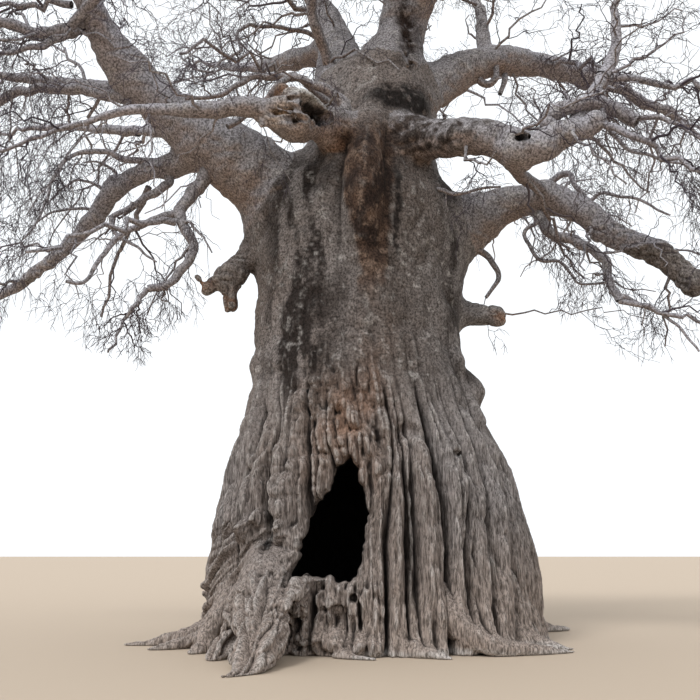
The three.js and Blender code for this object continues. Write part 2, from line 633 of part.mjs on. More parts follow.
// Side twigs leave their parent by the golden angle, lean away from it and hang or rise with it.
function sideTwigs(parent, stem, level) {
  const count = TWIGS_PER_LEVEL[level];
  const twigs = [];
  for (let i = 0; i < count; i += 1) {
    const id = parent.id * ID_STEP + i;
    const draw = (index) => chance(stem.seed + id * SEED_STEP, index);
    const t = FIRST_SIDE_TWIG + (SIDE_TWIG_SPAN * (i + 0.2 + 0.6 * draw(1))) / count;
    const tangent = twigTangent(parent, t);
    const across = acrossOf(tangent);
    const other = new THREE.Vector3().crossVectors(tangent, across);
    const turn = radians(GOLDEN_ANGLE * i + 360 * chance(stem.seed, parent.id));
    const lean = radians(LEAN_LOW + LEAN_SPAN * draw(2));
    const way = tangent.clone().multiplyScalar(Math.cos(lean))
      .addScaledVector(across, Math.sin(lean) * Math.cos(turn))
      .addScaledVector(other, Math.sin(lean) * Math.sin(turn));
    const bend = new THREE.Vector3(draw(3) - 0.5, draw(4) - 0.5, draw(5) - 0.5).multiplyScalar(WANDER);
    bend.z -= stem.row.sag * SAG_SHARE;
    const spread = 1 + LENGTH_SPREAD * (draw(6) - 0.5);
    const length = parent.length * LENGTH_RATIO[level] * (LENGTH_AT_ROOT - LENGTH_LOSS * t) * spread;
    const radius = parent.radius * (1 - RADIUS_LOSS * t) * RADIUS_RATIO;
    const start = facetPoint(parent, t, STEPS_PER_LEVEL[level]);
    twigs.push({ start, way, bend, length, radius, id });
  }
  return twigs;
}

// Whether a point is above the crown's lower edge.
function aboveEdge(place) {
  const nearer = (EDGE_DEPTH - EDGE_EYE[1]) / (place.y - EDGE_EYE[1]);
  const x = EDGE_EYE[0] + (place.x - EDGE_EYE[0]) * nearer;
  const height = EDGE_EYE[2] + (place.z - EDGE_EYE[2]) * nearer;
  const next = Math.max(1, CROWN_EDGE.findIndex((pair) => pair[0] > x));
  const [low, high] = [CROWN_EDGE[next - 1], CROWN_EDGE[next]];
  return height > THREE.MathUtils.mapLinear(x, low[0], high[0], low[1], high[1]);
}

// Whether a point belongs to a mass's own space and touches no limb.
function inSpace(place, stem) {
  const own = place.distanceTo(stem.middle);
  if (own > stem.row.reach * SPACE_REACH || !aboveEdge(place) || !clearOfTrunk(place, TWIG_CLEARANCE)) {
    return false;
  }
  for (const other of stems) {
    if (other !== stem && place.distanceTo(other.middle) < own + SPACE_CLEARANCE) {
      return false;
    }
  }
  for (const limb of limbs.values()) {
    if (distanceToLimb(place, limb) < TWIG_CLEARANCE) {
      return false;
    }
  }
  return true;
}

function twigFits(twig, stem) {
  return FIT_SHARES.every((t) => inSpace(twigPoint(twig, t), stem));
}

// A three-sided twig that tapers to a point.
function twigSolid(twig, steps) {
  const place = (angle, share, radial) => {
    const tangent = share === 0 && twig.facing ? twig.facing : twigTangent(twig, share);
    const across = acrossOf(twigTangent(twig, 0.5));
    across.addScaledVector(tangent, -across.dot(tangent)).normalize();
    const other = new THREE.Vector3().crossVectors(tangent, across);
    const turn = radians(angle);
    const reach = radial * twig.radius * (1 - share);
    return twigPoint(twig, share)
      .addScaledVector(across, reach * Math.cos(turn))
      .addScaledVector(other, reach * Math.sin(turn));
  };
  return solid(reshape(3, steps, place));
}

// One mass: the stem and every side twig that stays in the mass's space, joined into one body.
function massSolid(stem) {
  let level = [firstTwig(stem)];
  let body = twigSolid(level[0], STEPS_PER_LEVEL[0]);
  for (let depth = 0; depth < TWIGS_PER_LEVEL.length; depth += 1) {
    const next = level.flatMap((twig) => sideTwigs(twig, stem, depth)).filter((twig) => twigFits(twig, stem));
    for (const twig of next) {
      body = body.add(twigSolid(twig, STEPS_PER_LEVEL[depth + 1]));
    }
    level = next;
  }
  return body;
}

// The doorway and the hollow behind it, as one solid to cut out of the trunk.
function hollowSolid() {
  const outline = new THREE.Shape();
  outline.moveTo(...DOOR_LEFT[0]);
  outline.splineThru(DOOR_LEFT.slice(1).concat([DOOR_APEX]).map((pair) => new THREE.Vector2(...pair)));
  outline.splineThru(DOOR_RIGHT.map((pair) => new THREE.Vector2(...pair)));
  outline.closePath();
  const door = new THREE.ExtrudeGeometry(outline, {
    depth: DOOR_BACK - DOOR_FRONT,
    bevelEnabled: false,
    curveSegments: 8,
  });
  door.rotateX(Math.PI / 2);
  door.translate(0, DOOR_BACK, 0);
  const room = new THREE.LatheGeometry(HOLLOW_PROFILE.map((pair) => new THREE.Vector2(...pair)), HOLLOW_SIDES);
  room.rotateX(Math.PI / 2);
  room.scale(HOLLOW_STRETCH[0], HOLLOW_STRETCH[1], 1);
  room.translate(HOLLOW_MIDDLE[0], HOLLOW_MIDDLE[1], 0);
  return solid(door).add(solid(room));
}

function spurSolid(row, index) {
  const limb = { girth: row.girth };
  limb.curve = new LimbCurve(point(row.from), point(row.to), point(row.bow), 0, index + 61);
  return limbSolid(limb, 0, 1, SPUR_SIDES, SPUR_STEPS);
}

// How finely a limb and its collar are faceted, by its thickness.
function facetsOf(limb) {
  if (limb.girth[0] <= STEM_RADIUS_MAX) {
    return STEM_COLLAR;
  }
  return limb.girth[0] > THICK ? THICK_LIMB : THIN_LIMB;
}

function collarSolid({ limb, seat }) {
  const { sides, collarSteps } = facetsOf(limb);
  return limbSolid(limb, 0, seat, sides, collarSteps);
}

// What lies below the ground is cut away flat.
function belowGround() {
  const block = new THREE.BoxGeometry(30, 30, 4);
  block.translate(0, 0, -2);
  return solid(block);
}

function trunkSolid() {
  const place = (angle, share, radial) => {
    const height = TRUNK_TOP * share ** ROW_CROWDING;
    const number = Math.round((angle / 360) * LINES.length + LINES.length) % LINES.length;
    return trunkPoint(lineAzimuth(LINES[number], height), height, radial);
  };
  let body = solid(reshape(LINES.length, TRUNK_ROWS, place));
  TRUNK_SPURS.forEach((row, index) => {
    body = body.add(spurSolid(row, index));
  });
  for (const collar of collars.get("trunk")) {
    body = body.add(collarSolid(collar));
  }
  return body.subtract(hollowSolid()).subtract(belowGround());
}

function boughSolid(limb) {
  const { sides, steps } = facetsOf(limb);
  let body = limbSolid(limb, limb.start, 1, sides, steps);
  for (const collar of collars.get(limb.name)) {
    body = body.add(collarSolid(collar));
  }
  return body;
}

// A named mesh in millimetres from a solid in metres.
function asMesh(body, name, colour) {
  const result = body.simplify(SIMPLIFY).getMesh();
  const shape = new THREE.BufferGeometry();
  const count = result.vertProperties.length / result.numProp;
  const positions = new Float32Array(count * 3);
  for (let i = 0; i < count; i += 1) {
    for (let k = 0; k < 3; k += 1) {
      positions[i * 3 + k] = result.vertProperties[i * result.numProp + k] * METRE;
    }
  }
  shape.setAttribute("position", new THREE.BufferAttribute(positions, 3));
  shape.setIndex(new THREE.BufferAttribute(new Uint32Array(result.triVerts), 1));
  const material = new THREE.MeshStandardMaterial({ color: colour, roughness: ROUGH, metalness: 0 });
  const mesh = new THREE.Mesh(shape, material);
  mesh.name = name;
  return mesh;
}

const tree = new THREE.Group();
tree.add(asMesh(trunkSolid(), "trunk", BARK_COLOUR));
for (const limb of limbs.values()) {
  tree.add(asMesh(boughSolid(limb), limb.name, BOUGH_COLOUR));
}
for (const stem of stems) {
  tree.add(asMesh(massSolid(stem), stem.row.name, TWIG_COLOUR));
}

export default tree;
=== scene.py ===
# The looks of a bare, very old baobab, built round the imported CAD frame. Metres, +Z up, front faces -Y.
# Two fields of distances, a fine one for the lower front and a coarser one for the rest, blend the fluted
# trunk, the roots and the great boughs into a skin of bark. Thin limbs are swept tubes, and the twigs grow
# from the limbs by the rule of the part's own source.

import math

import bpy
import numpy as np
import openvdb
from mathutils import Euler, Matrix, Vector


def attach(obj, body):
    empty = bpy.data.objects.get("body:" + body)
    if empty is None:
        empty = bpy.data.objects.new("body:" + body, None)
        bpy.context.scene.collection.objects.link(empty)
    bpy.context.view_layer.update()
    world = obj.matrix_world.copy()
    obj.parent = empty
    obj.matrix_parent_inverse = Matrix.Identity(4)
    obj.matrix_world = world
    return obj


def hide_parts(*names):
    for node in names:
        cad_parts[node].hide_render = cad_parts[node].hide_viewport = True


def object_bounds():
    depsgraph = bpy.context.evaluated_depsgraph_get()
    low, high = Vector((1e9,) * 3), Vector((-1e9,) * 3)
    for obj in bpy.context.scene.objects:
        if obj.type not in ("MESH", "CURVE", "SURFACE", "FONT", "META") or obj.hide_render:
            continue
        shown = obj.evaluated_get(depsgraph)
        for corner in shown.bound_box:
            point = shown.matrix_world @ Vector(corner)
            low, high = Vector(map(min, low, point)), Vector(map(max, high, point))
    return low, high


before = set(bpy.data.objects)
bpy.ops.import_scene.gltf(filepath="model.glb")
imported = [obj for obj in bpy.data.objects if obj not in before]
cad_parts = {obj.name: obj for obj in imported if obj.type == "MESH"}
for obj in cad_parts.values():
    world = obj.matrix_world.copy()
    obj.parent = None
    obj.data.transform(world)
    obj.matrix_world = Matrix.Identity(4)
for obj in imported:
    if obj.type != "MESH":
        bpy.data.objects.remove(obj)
CAD_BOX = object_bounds()

# The trunk: height, middle in x, half width and half depth at that height.
TRUNK_PROFILE = np.array([
    [0.0, 0.0, 3.25, 2.95],
    [1.2, 0.0, 3.2, 2.8],
    [2.4, 0.0, 3.05, 2.66],
    [3.5, -0.04, 2.8, 2.5],
    [4.7, -0.16, 2.46, 2.3],
    [6.0, -0.24, 2.29, 2.12],
    [7.3, -0.24, 2.28, 2.05],
    [8.4, -0.2, 2.36, 2.1],
    [9.2, -0.16, 2.22, 2.08],
    [10.0, -0.1, 1.84, 1.84],
    [10.8, 0.0, 1.52, 1.6],
    [12.2, 0.2, 1.38, 1.3],
    [12.9, 0.2, 1.1, 1.0],
    [13.2, 0.2, 0.6, 0.55],
])
TRUNK_TOP = 13.2

# The folds between the fluted columns: azimuth from the front towards +X, in degrees, at the ground,
# at FOLD_HEIGHTS[1] and at FOLD_HEIGHTS[2], and how deep the fold is cut beyond the columns' own roundness.
FOLD_HEIGHTS = [0.0, 1.8, 3.6]
FRONT_FOLDS = [
    [-92, -88, -85, 0.12],
    [-80, -75, -72, 0.22],
    [-64, -57, -55, 0.2],
    [-49, -41, -43, 0.22],
    [-28, -27, -28, 0.24],
    [3.6, 4.6, 10, 0.2],
    [11.2, 12.8, 13.8, 0.14],
    [15.2, 16.2, 16.8, 0.1],
    [25, 28, 27, 0.6],
    [34.5, 36.4, 41, 0.1],
    [44, 47, 51, 0.22],
    [53.5, 60.5, 62, 0.26],
    [65, 70, 72, 0.22],
    [76, 79, 81, 0.22],
    [88, 90, 91, 0.2],
]
BACK_FOLDS = 13
BACK_FROM = 102.0
BACK_TO = 256.0
FLUTES_FULL_BELOW = 2.6
FLUTES_GONE_ABOVE = 5.4
FLUTES_LEFT_ABOVE = 0.03
FLUTE_ROUNDNESS = 0.48
FLUTE_MOST = 0.3
FLUTE_INSET = 0.08
FOLD_SHARPNESS = 3.0
WALL_FROM = -27.0
WALL_TO = 3.6

# Cords and drapes of bark that stand out of the columns: the azimuth and height of points down each one,
# its half width and how proud it is.
STRANDS = [
    [[[-70, 4.7], [-74, 3.9], [-73, 2.6], [-76, 1.9], [-80, 1.2]], 0.18, 0.12],
    [[[-61, 5.3], [-60, 4.4], [-56, 3.45]], 0.15, 0.13],
    [[[-56, 3.3], [-53, 2.8], [-50, 2.3], [-49, 1.8]], 0.13, 0.12],
    [[[-50, 3.8], [-47, 3.2], [-44, 2.5], [-43, 1.9]], 0.11, 0.1],
    [[[-40, 3.9], [-37, 3.1], [-35, 2.5], [-35, 1.9]], 0.13, 0.13],
    [[[-24, 3.7], [-23, 3.0], [-25, 2.4], [-27, 1.8], [-30, 1.2]], 0.15, 0.12],
    [[[-31, 2.3], [-42, 1.75], [-56, 1.25], [-70, 0.8], [-86, 0.35]], 0.22, 0.17],
    [[[-30, 1.8], [-40, 1.35], [-52, 0.9], [-66, 0.45], [-76, 0.05]], 0.22, 0.18],
    [[[-37, 2.7], [-48, 2.2], [-62, 1.7], [-76, 1.2], [-92, 0.7]], 0.2, 0.14],
    [[[-31, 1.4], [-37, 1.0], [-46, 0.55], [-56, 0.1]], 0.2, 0.16],
    [[[-13, 5.6], [-9, 4.8], [-7, 4.2], [-3, 3.7], [2, 3.2], [2, 2.0]], 0.13, 0.1],
    [[[8, 5.8], [5, 5.0], [6, 4.3], [9, 3.6], [8, 2.4], [7, 1.0]], 0.14, 0.1],
    [[[21, 3.3], [20, 2.4], [20.5, 1.2], [22, 0.4]], 0.13, 0.1],
    [[[31, 3.4], [32, 2.2], [30, 1.0], [28, 0.3]], 0.1, 0.1],
    [[[54, 4.6], [56, 3.4], [54, 2.0], [49, 0.5]], 0.11, 0.08],
]

# The bark's relief on the trunk, in layers of cords and of sharp creases: how deep low down and above, how
# wide and high the marks are, which turn of the grain they take, and their seed.
CORD_LAYERS = [
    [0.11, 0.02, 0.3, 2.3, 2, 12],
    [0.075, 0.015, 0.14, 1.3, 3, 13],
    [0.035, 0.01, 0.075, 0.7, 14, 24],
]
CREASE_LAYERS = [
    [0.07, 0.003, 0.22, 3.4, 12, 20],
    [0.03, 0.008, 0.12, 1.4, 13, 23],
]
CREASE_SHARPNESS = 5
CORD_MIDDLE = 0.7

# How the columns sway: by how many degrees, how wide and high the swings are, their turn of the grain and
# their seed.
SWAY_LAYERS = [[1.8, 0.9, 1.1, 1, 11], [0.8, 0.4, 0.45, 9, 17]]

# Swellings of healed bark: azimuth, height, half width in degrees, half height and how proud.
BURLS = [
    [74, 5.1, 9, 0.55, 0.3],
    [66, 4.5, 8, 0.4, 0.16],
    [-72, 5.6, 8, 0.45, 0.12],
    [-56, 3.45, 4, 0.2, 0.16],
    [-20, 1.9, 4, 0.3, 0.14],
    [62, 5.6, 7, 0.4, 0.1],
    [-20, 9.4, 9, 0.8, 0.12],
    [120, 4.6, 12, 0.7, 0.2],
    [200, 6.2, 10, 0.6, 0.18],
    [160, 3.2, 9, 0.7, 0.2],
]

# The bare ridge that runs down the front from the two front boughs.
RIDGE_AZIMUTH = 0.0
RIDGE_HALF_WIDTH = 12.0
RIDGE_FOOT = 6.8
RIDGE_FULL = 9.4
RIDGE_HEAD = 10.4
RIDGE_END = 11.8
RIDGE_BULGE = 0.5

# Egg-shaped hollows: the middle, the radii and how round the rim is. The middles of the broken tips, whose
# wood is bare.
HOLLOWS = {
    "recess beside the foot": [[-1.42, -3.2, 0.5], [0.15, 0.5, 0.48], 0.12],
    "undercut below the wall": [[-1.15, -3.3, 0.08], [0.4, 0.5, 0.17], 0.08],
    "niche above the foot": [[-1.95, -2.5, 2.0], [0.13, 0.4, 0.25], 0.08],
    "torn end": [[-1.12, -2.75, 10.42], [0.36, 0.5, 0.23], 0.03],
    "torn end, upper crack": [[-1.5, -3.05, 10.56], [0.3, 0.26, 0.07], 0.02],
    "torn end, middle crack": [[-1.72, -3.0, 10.28], [0.32, 0.2, 0.05], 0.02],
    "torn end, lower crack": [[-1.5, -3.0, 10.12], [0.25, 0.2, 0.045], 0.02],
    "knot-hole": [[2.95, -3.12, 9.62], [0.15, 0.26, 0.13], 0.05],
    "slit on the right": [[1.72, -2.3, 3.5], [0.16, 0.2, 0.08], 0.05],
    "groove down the pillar": [[0.93, -1.15, 13.6], [0.16, 0.25, 1.0], 0.15],
}
# The hollows whose insides are painted black, as painted shade where no light comes.
DARK_HOLLOWS = ["niche above the foot", "torn end", "knot-hole", "slit on the right"]
BROKEN_TIPS = [[-3.1, -0.4, 6.95], [-3.75, -0.5, 7.5], [3.05, 0.0, 6.85]]

# The doorway's outline as seen from the front, how ragged its edge is (depth, fineness and seed), the
# teeth along its sill, and the hollow behind it.
DOOR_OUTLINE = [
    [-1.5, 1.22], [-1.36, 1.9], [-1.12, 2.45], [-0.82, 2.85], [-0.66, 3.22], [-0.42, 3.45],
    [-0.28, 3.22], [-0.17, 2.88], [-0.08, 2.4], [-0.14, 1.9], [-0.28, 1.22],
]
DOOR_RAGS = [[0.05, 1.7, 31], [0.035, 4.6, 32], [0.025, 12, 33]]
SILL_TEETH = 0.1
SILL_TEETH_FADE = [1.3, 1.6]
DOOR_FRONT = -4.2
DOOR_BACK = -1.4
HOLLOW_MIDDLE = [-0.6, -0.55]
HOLLOW_STRETCH = [1.15, 1.3]
HOLLOW_PROFILE = [[0, 1.15], [1.0, 1.15], [1.08, 2.2], [0.9, 3.4], [0.45, 4.3], [0, 4.6]]

# The broken stumps of lost boughs, and the plates of wood at the torn end: start, end, bow at the middle,
# radius at each end.
TRUNK_SPURS = [
    {"from": [-1.6, 0.2, 8.9], "to": [-3.12, -0.4, 7.72], "bow": [-0.1, 0, 0.12], "girth": [0.38, 0.24]},
    {"from": [-3.02, -0.4, 7.75], "to": [-3.6, -0.5, 7.36], "bow": [0, 0, 0.05], "girth": [0.2, 0.12]},
    {"from": [-3.5, -0.5, 7.4], "to": [-3.82, -0.55, 7.62], "bow": [0, 0, -0.05], "girth": [0.09, 0.05]},
    {"from": [-3.02, -0.4, 7.7], "to": [-3.05, -0.42, 7.0], "bow": [-0.04, 0, 0], "girth": [0.19, 0.14]},
    {"from": [-3.08, -0.4, 7.1], "to": [-3.16, -0.42, 6.86], "bow": [0, 0, 0], "girth": [0.08, 0.03]},
    {"from": [1.2, 0.0, 6.9], "to": [2.85, 0.0, 6.88], "bow": [0, 0, 0.05], "girth": [0.38, 0.22]},
    {"from": [2.7, 0.0, 6.95], "to": [3.05, 0.02, 6.93], "bow": [0, 0, 0], "girth": [0.12, 0.05]},
    {"from": [2.7, 0.0, 6.8], "to": [2.98, -0.05, 6.72], "bow": [0, 0, 0], "girth": [0.1, 0.03]},
    {"from": [-1.62, -2.5, 10.35], "to": [-1.84, -2.52, 11.0], "bow": [0, 0, 0], "girth": [0.22, 0.12]},
    {"from": [-1.75, -2.5, 10.7], "to": [-1.98, -2.5, 10.92], "bow": [0, 0, 0], "girth": [0.1, 0.04]},
    {"from": [-1.7, -2.7, 10.1], "to": [-2.2, -2.85, 10.02], "bow": [0, 0, 0.08], "girth": [0.14, 0.05]},
]

# The splinters round the torn end: how many, the middle of the ring that they stand on and its radius,
# the way they point, their length, and their radius at root and tip.
SPLINTERS = 13
SPLINTER_MIDDLE = [-1.45, -2.6, 10.36]
SPLINTER_RING = 0.33
SPLINTER_WAY = [-0.9, -0.35, 0.1]
SPLINTER_LENGTH = 0.62
SPLINTER_GIRTH = [0.12, 0.025]

# Roots that sweep out over the ground: the points of each one's middle with its radius there, and how
# wide the fillet is by which it grows out of what is beside it.
SURFACE_ROOTS = [
    [0.3, [
        [-1.3, -2.2, 1.2, 0.34], [-1.62, -3.0, 0.84, 0.37], [-1.8, -3.7, 0.5, 0.35],
        [-1.87, -4.3, 0.2, 0.27], [-1.9, -4.8, 0.0, 0.19], [-2.12, -5.2, -0.05, 0.13],
        [-2.5, -5.4, -0.08, 0.08],
    ]],
    [0.3, [
        [-1.9, -2.2, 1.5, 0.36], [-2.02, -3.0, 0.86, 0.32], [-2.06, -3.6, 0.42, 0.24],
        [-2.05, -4.1, 0.1, 0.2],
    ]],
    [0.16, [
        [-2.1, -2.2, 1.2, 0.3], [-2.4, -2.75, 0.6, 0.26], [-2.56, -3.1, 0.2, 0.18],
        [-2.66, -3.4, -0.06, 0.12],
    ]],
    [0.16, [
        [-2.6, -1.6, 0.9, 0.26], [-2.9, -2.0, 0.42, 0.22], [-3.05, -2.3, 0.1, 0.16],
        [-3.2, -2.5, -0.07, 0.1],
    ]],
    [0.14, [
        [-2.7, -0.8, 0.5, 0.24], [-3.3, -1.0, 0.2, 0.17], [-3.9, -1.15, 0.06, 0.12],
        [-4.5, -1.2, 0.0, 0.07], [-4.75, -1.2, -0.05, 0.05],
    ]],
    [0.12, [
        [-2.8, -1.3, 0.45, 0.2], [-3.3, -1.55, 0.14, 0.14], [-3.8, -1.85, 0.02, 0.09],
        [-4.2, -2.0, -0.05, 0.06],
    ]],
    [0.12, [
        [-2.9, -0.2, 0.5, 0.2], [-3.5, -0.35, 0.14, 0.13], [-4.0, -0.45, 0.02, 0.08],
        [-4.4, -0.4, -0.05, 0.05],
    ]],
    [0.2, [
        [1.15, -2.4, 1.0, 0.22], [1.45, -2.75, 0.42, 0.22], [2.0, -2.85, 0.14, 0.16],
        [2.8, -2.65, 0.04, 0.11], [3.6, -2.3, -0.05, 0.07],
    ]],
    [0.14, [
        [1.8, -2.4, 0.3, 0.18], [2.3, -2.5, 0.1, 0.13], [2.8, -2.3, 0.02, 0.09],
        [3.25, -1.95, -0.05, 0.05],
    ]],
    [0.2, [
        [-0.9, -2.6, 0.2, 0.2], [-0.65, -3.0, 0.06, 0.14], [-0.35, -3.25, -0.02, 0.1],
        [0, -3.4, -0.07, 0.07],
    ]],
    [0.2, [
        [0.5, -2.7, 0.16, 0.18], [0.7, -3.05, 0.05, 0.13], [1.0, -3.2, -0.01, 0.09],
        [1.35, -3.3, -0.06, 0.06],
    ]],
    [0.14, [
        [2.6, -1.5, 0.3, 0.2], [3.0, -1.7, 0.1, 0.15], [3.45, -1.9, 0.0, 0.1], [3.8, -1.95, -0.06, 0.06],
    ]],
    [0.2, [
        [2.8, 1.1, 0.4, 0.26], [3.5, 1.5, 0.12, 0.17], [4.1, 1.6, 0.02, 0.11], [4.6, 1.9, -0.06, 0.06],
    ]],
    [0.2, [
        [-2.1, 2.3, 0.4, 0.26], [-2.7, 3.0, 0.12, 0.18], [-3.0, 3.6, 0.02, 0.11],
        [-3.1, 4.2, -0.06, 0.06],
    ]],
    [0.2, [
        [0.9, 2.7, 0.4, 0.26], [1.3, 3.4, 0.12, 0.18], [1.5, 3.9, 0.02, 0.11], [1.9, 4.4, -0.06, 0.06],
    ]],
]

# The camera that took the photo, in the part's frame: where it stands, its tilt in degrees, its focal
# length in pixels, and the pixel at the middle of the picture.
EYE = [-0.43, -17.3, 1.7]
EYE_TILT = 14.24
FOCAL = 800.0
PICTURE_MIDDLE = 350.0

# Crooked limbs that the photo shows: the name, what carries it, how far in y its tip lies from its root, its
# radius at root and tip, how many stems of twigs leave it besides those in SIDE_STEMS, and the pixels that
# it passes. The two that are boughs take the place of their smooth curves.
CROOKED_LIMBS = [
    ["bough_left_hook", "bough_left_great", -0.6, [0.19, 0.08], 0, [
        (203, 181), (192, 194), (178, 213), (183, 225), (192, 242), (192, 256), (178, 272), (167, 286),
        (147, 289),
    ]],
    ["bough_right_hanging", "bough_right_great_middle", -0.9, [0.15, 0.08], 0, [
        (541, 212), (545, 232), (568, 238), (595, 250), (609, 265), (606, 274), (615, 294), (619, 302),
    ]],
    ["left_arch", "bough_left_low", -0.8, [0.09, 0.02], 7, [
        (164, 165), (142, 161), (122, 160), (111, 153), (92, 150), (75, 152), (61, 164), (50, 189),
        (39, 217), (22, 238),
    ]],
    ["left_low_rise", "bough_left_low", -0.4, [0.05, 0.015], 3, [
        (119, 182), (114, 172), (106, 164), (94, 160), (84, 163),
    ]],
    ["left_knuckle", "bough_left_low_outer", -0.5, [0.05, 0.015], 4, [
        (105, 192), (97, 184), (89, 181), (72, 181), (58, 192), (48, 206),
    ]],
    ["left_low_side", "bough_left_low_outer", -0.6, [0.045, 0.014], 4, [
        (95, 210), (80, 208), (69, 208), (53, 210), (42, 219), (25, 236),
    ]],
    ["left_under", "bough_left_low", -0.5, [0.12, 0.02], 5, [
        (168, 184), (147, 197), (128, 211), (111, 217), (111, 228), (122, 236), (139, 247), (155, 261),
    ]],
    ["left_from_hook", "bough_left_hook", -0.8, [0.09, 0.035], 5, [
        (178, 214), (156, 219), (133, 228), (119, 233), (106, 250), (94, 267), (83, 286), (66, 281),
    ]],
    ["left_back_limb", "bough_left_great", 0.6, [0.16, 0.09], 4, [
        (142, 106), (130, 100), (111, 96), (83, 89), (47, 89), (17, 92), (-10, 106),
    ]],
    ["left_cross", "bough_left_great_outer", -1.0, [0.14, 0.09], 3, [
        (66, 34), (75, 22), (88, 8), (100, -6), (112, -20),
    ]],
    ["left_high_low", "bough_left_great_outer", -0.8, [0.1, 0.04], 4, [
        (80, 32), (55, 40), (33, 47), (0, 53), (-30, 62),
    ]],
    ["left_high", "bough_left_great_outer", -0.5, [0.15, 0.1], 4, [
        (72, 28), (50, 33), (36, 33), (18, 28), (-6, 22),
    ]],
    ["top_left_arm", "bough_top_left", -2.0, [0.08, 0.02], 5, [
        (338, 52), (320, 40), (300, 30), (270, 25), (247, 26), (236, 33), (242, 50), (222, 61), (211, 74),
        (192, 70),
    ]],
    ["above_torn", "bough_torn", -0.4, [0.15, 0.035], 4, [
        (348, 106), (334, 96), (318, 86), (303, 80), (281, 77), (252, 77), (238, 84), (228, 92),
        (205, 97), (185, 100),
    ]],
    ["stick", "above_torn", -0.5, [0.08, 0.065], 0, [
        (292, 74), (282, 82), (268, 98), (251, 112), (238, 122), (226, 127),
    ]],
    ["top_front", "bough_top_left", -1.5, [0.17, 0.1], 4, [
        (352, 92), (340, 80), (328, 60), (316, 30), (312, 0), (310, -20),
    ]],
    ["under_right_great", "bough_right_great_middle", -0.6, [0.065, 0.02], 4, [
        (545, 208), (539, 222), (524, 232), (526, 238), (533, 253), (539, 262), (559, 259), (565, 265),
        (577, 285), (590, 284), (606, 282),
    ]],
    ["right_hanging_twig", "bough_right_hanging", -0.4, [0.06, 0.02], 4, [
        (618, 300), (624, 294), (640, 303), (654, 312), (680, 326), (699, 352),
    ]],
    ["right_crook", "bough_right_great_middle", -0.8, [0.09, 0.02], 4, [
        (548, 192), (552, 181), (558, 175), (571, 173), (574, 185), (581, 192), (586, 200), (606, 194),
        (642, 200), (670, 215),
    ]],
    ["right_link", "bough_right_front", 2.0, [0.17, 0.13], 0, [
        (510, 160), (520, 174), (532, 183), (543, 192),
    ]],
    ["right_blunt", "bough_right_front_rise", -0.2, [0.17, 0.15], 1, [
        (552, 128), (545, 118), (556, 110), (580, 106), (600, 104), (622, 112), (637, 121),
    ]],
    ["right_out", "right_blunt", -0.4, [0.06, 0.02], 5, [
        (632, 118), (645, 118), (665, 118), (683, 126), (699, 138), (715, 150),
    ]],
    ["right_low", "right_blunt", -0.6, [0.06, 0.02], 5, [
        (600, 106), (609, 126), (612, 138), (630, 150), (659, 159), (695, 165),
    ]],
    ["curl", "trunk", 0.0, [0.11, 0.04], 2, [
        (458, 246), (470, 248), (478, 250), (489, 256), (499, 271), (498, 282), (492, 290), (486, 297),
    ]],
    ["broken_loop", "bough_upper_right", -0.1, [0.13, 0.07], 0, [
        (470, 62), (474, 74), (482, 83), (489, 86), (496, 80), (498, 66),
    ]],
    ["broken_hang", "bough_upper_right", -0.1, [0.09, 0.06], 0, [
        (502, 60), (505, 74), (503, 86), (501, 95),
    ]],
    ["right_short", "trunk", -0.9, [0.06, 0.02], 4, [
        (422, 186), (440, 189), (452, 194), (465, 194), (482, 191), (500, 187),
    ]],
]
CROOKED_STEP = 0.035

# How far back in y the crooked limbs that the trunk carries are rooted.
ROOT_IN_TRUNK = {"curl": -0.2, "right_short": -1.2}

# The one fruit: the pixel where its stalk leaves the bough, the stalk's length and radii, and the pod's
# own length and width.
POD_PIXEL = (462, -2)
POD_STALK = 0.25
POD_STALK_GIRTH = [0.014, 0.008]
POD_LENGTH = 0.2
POD_WIDTH = 0.1
POD_RIBS = 5

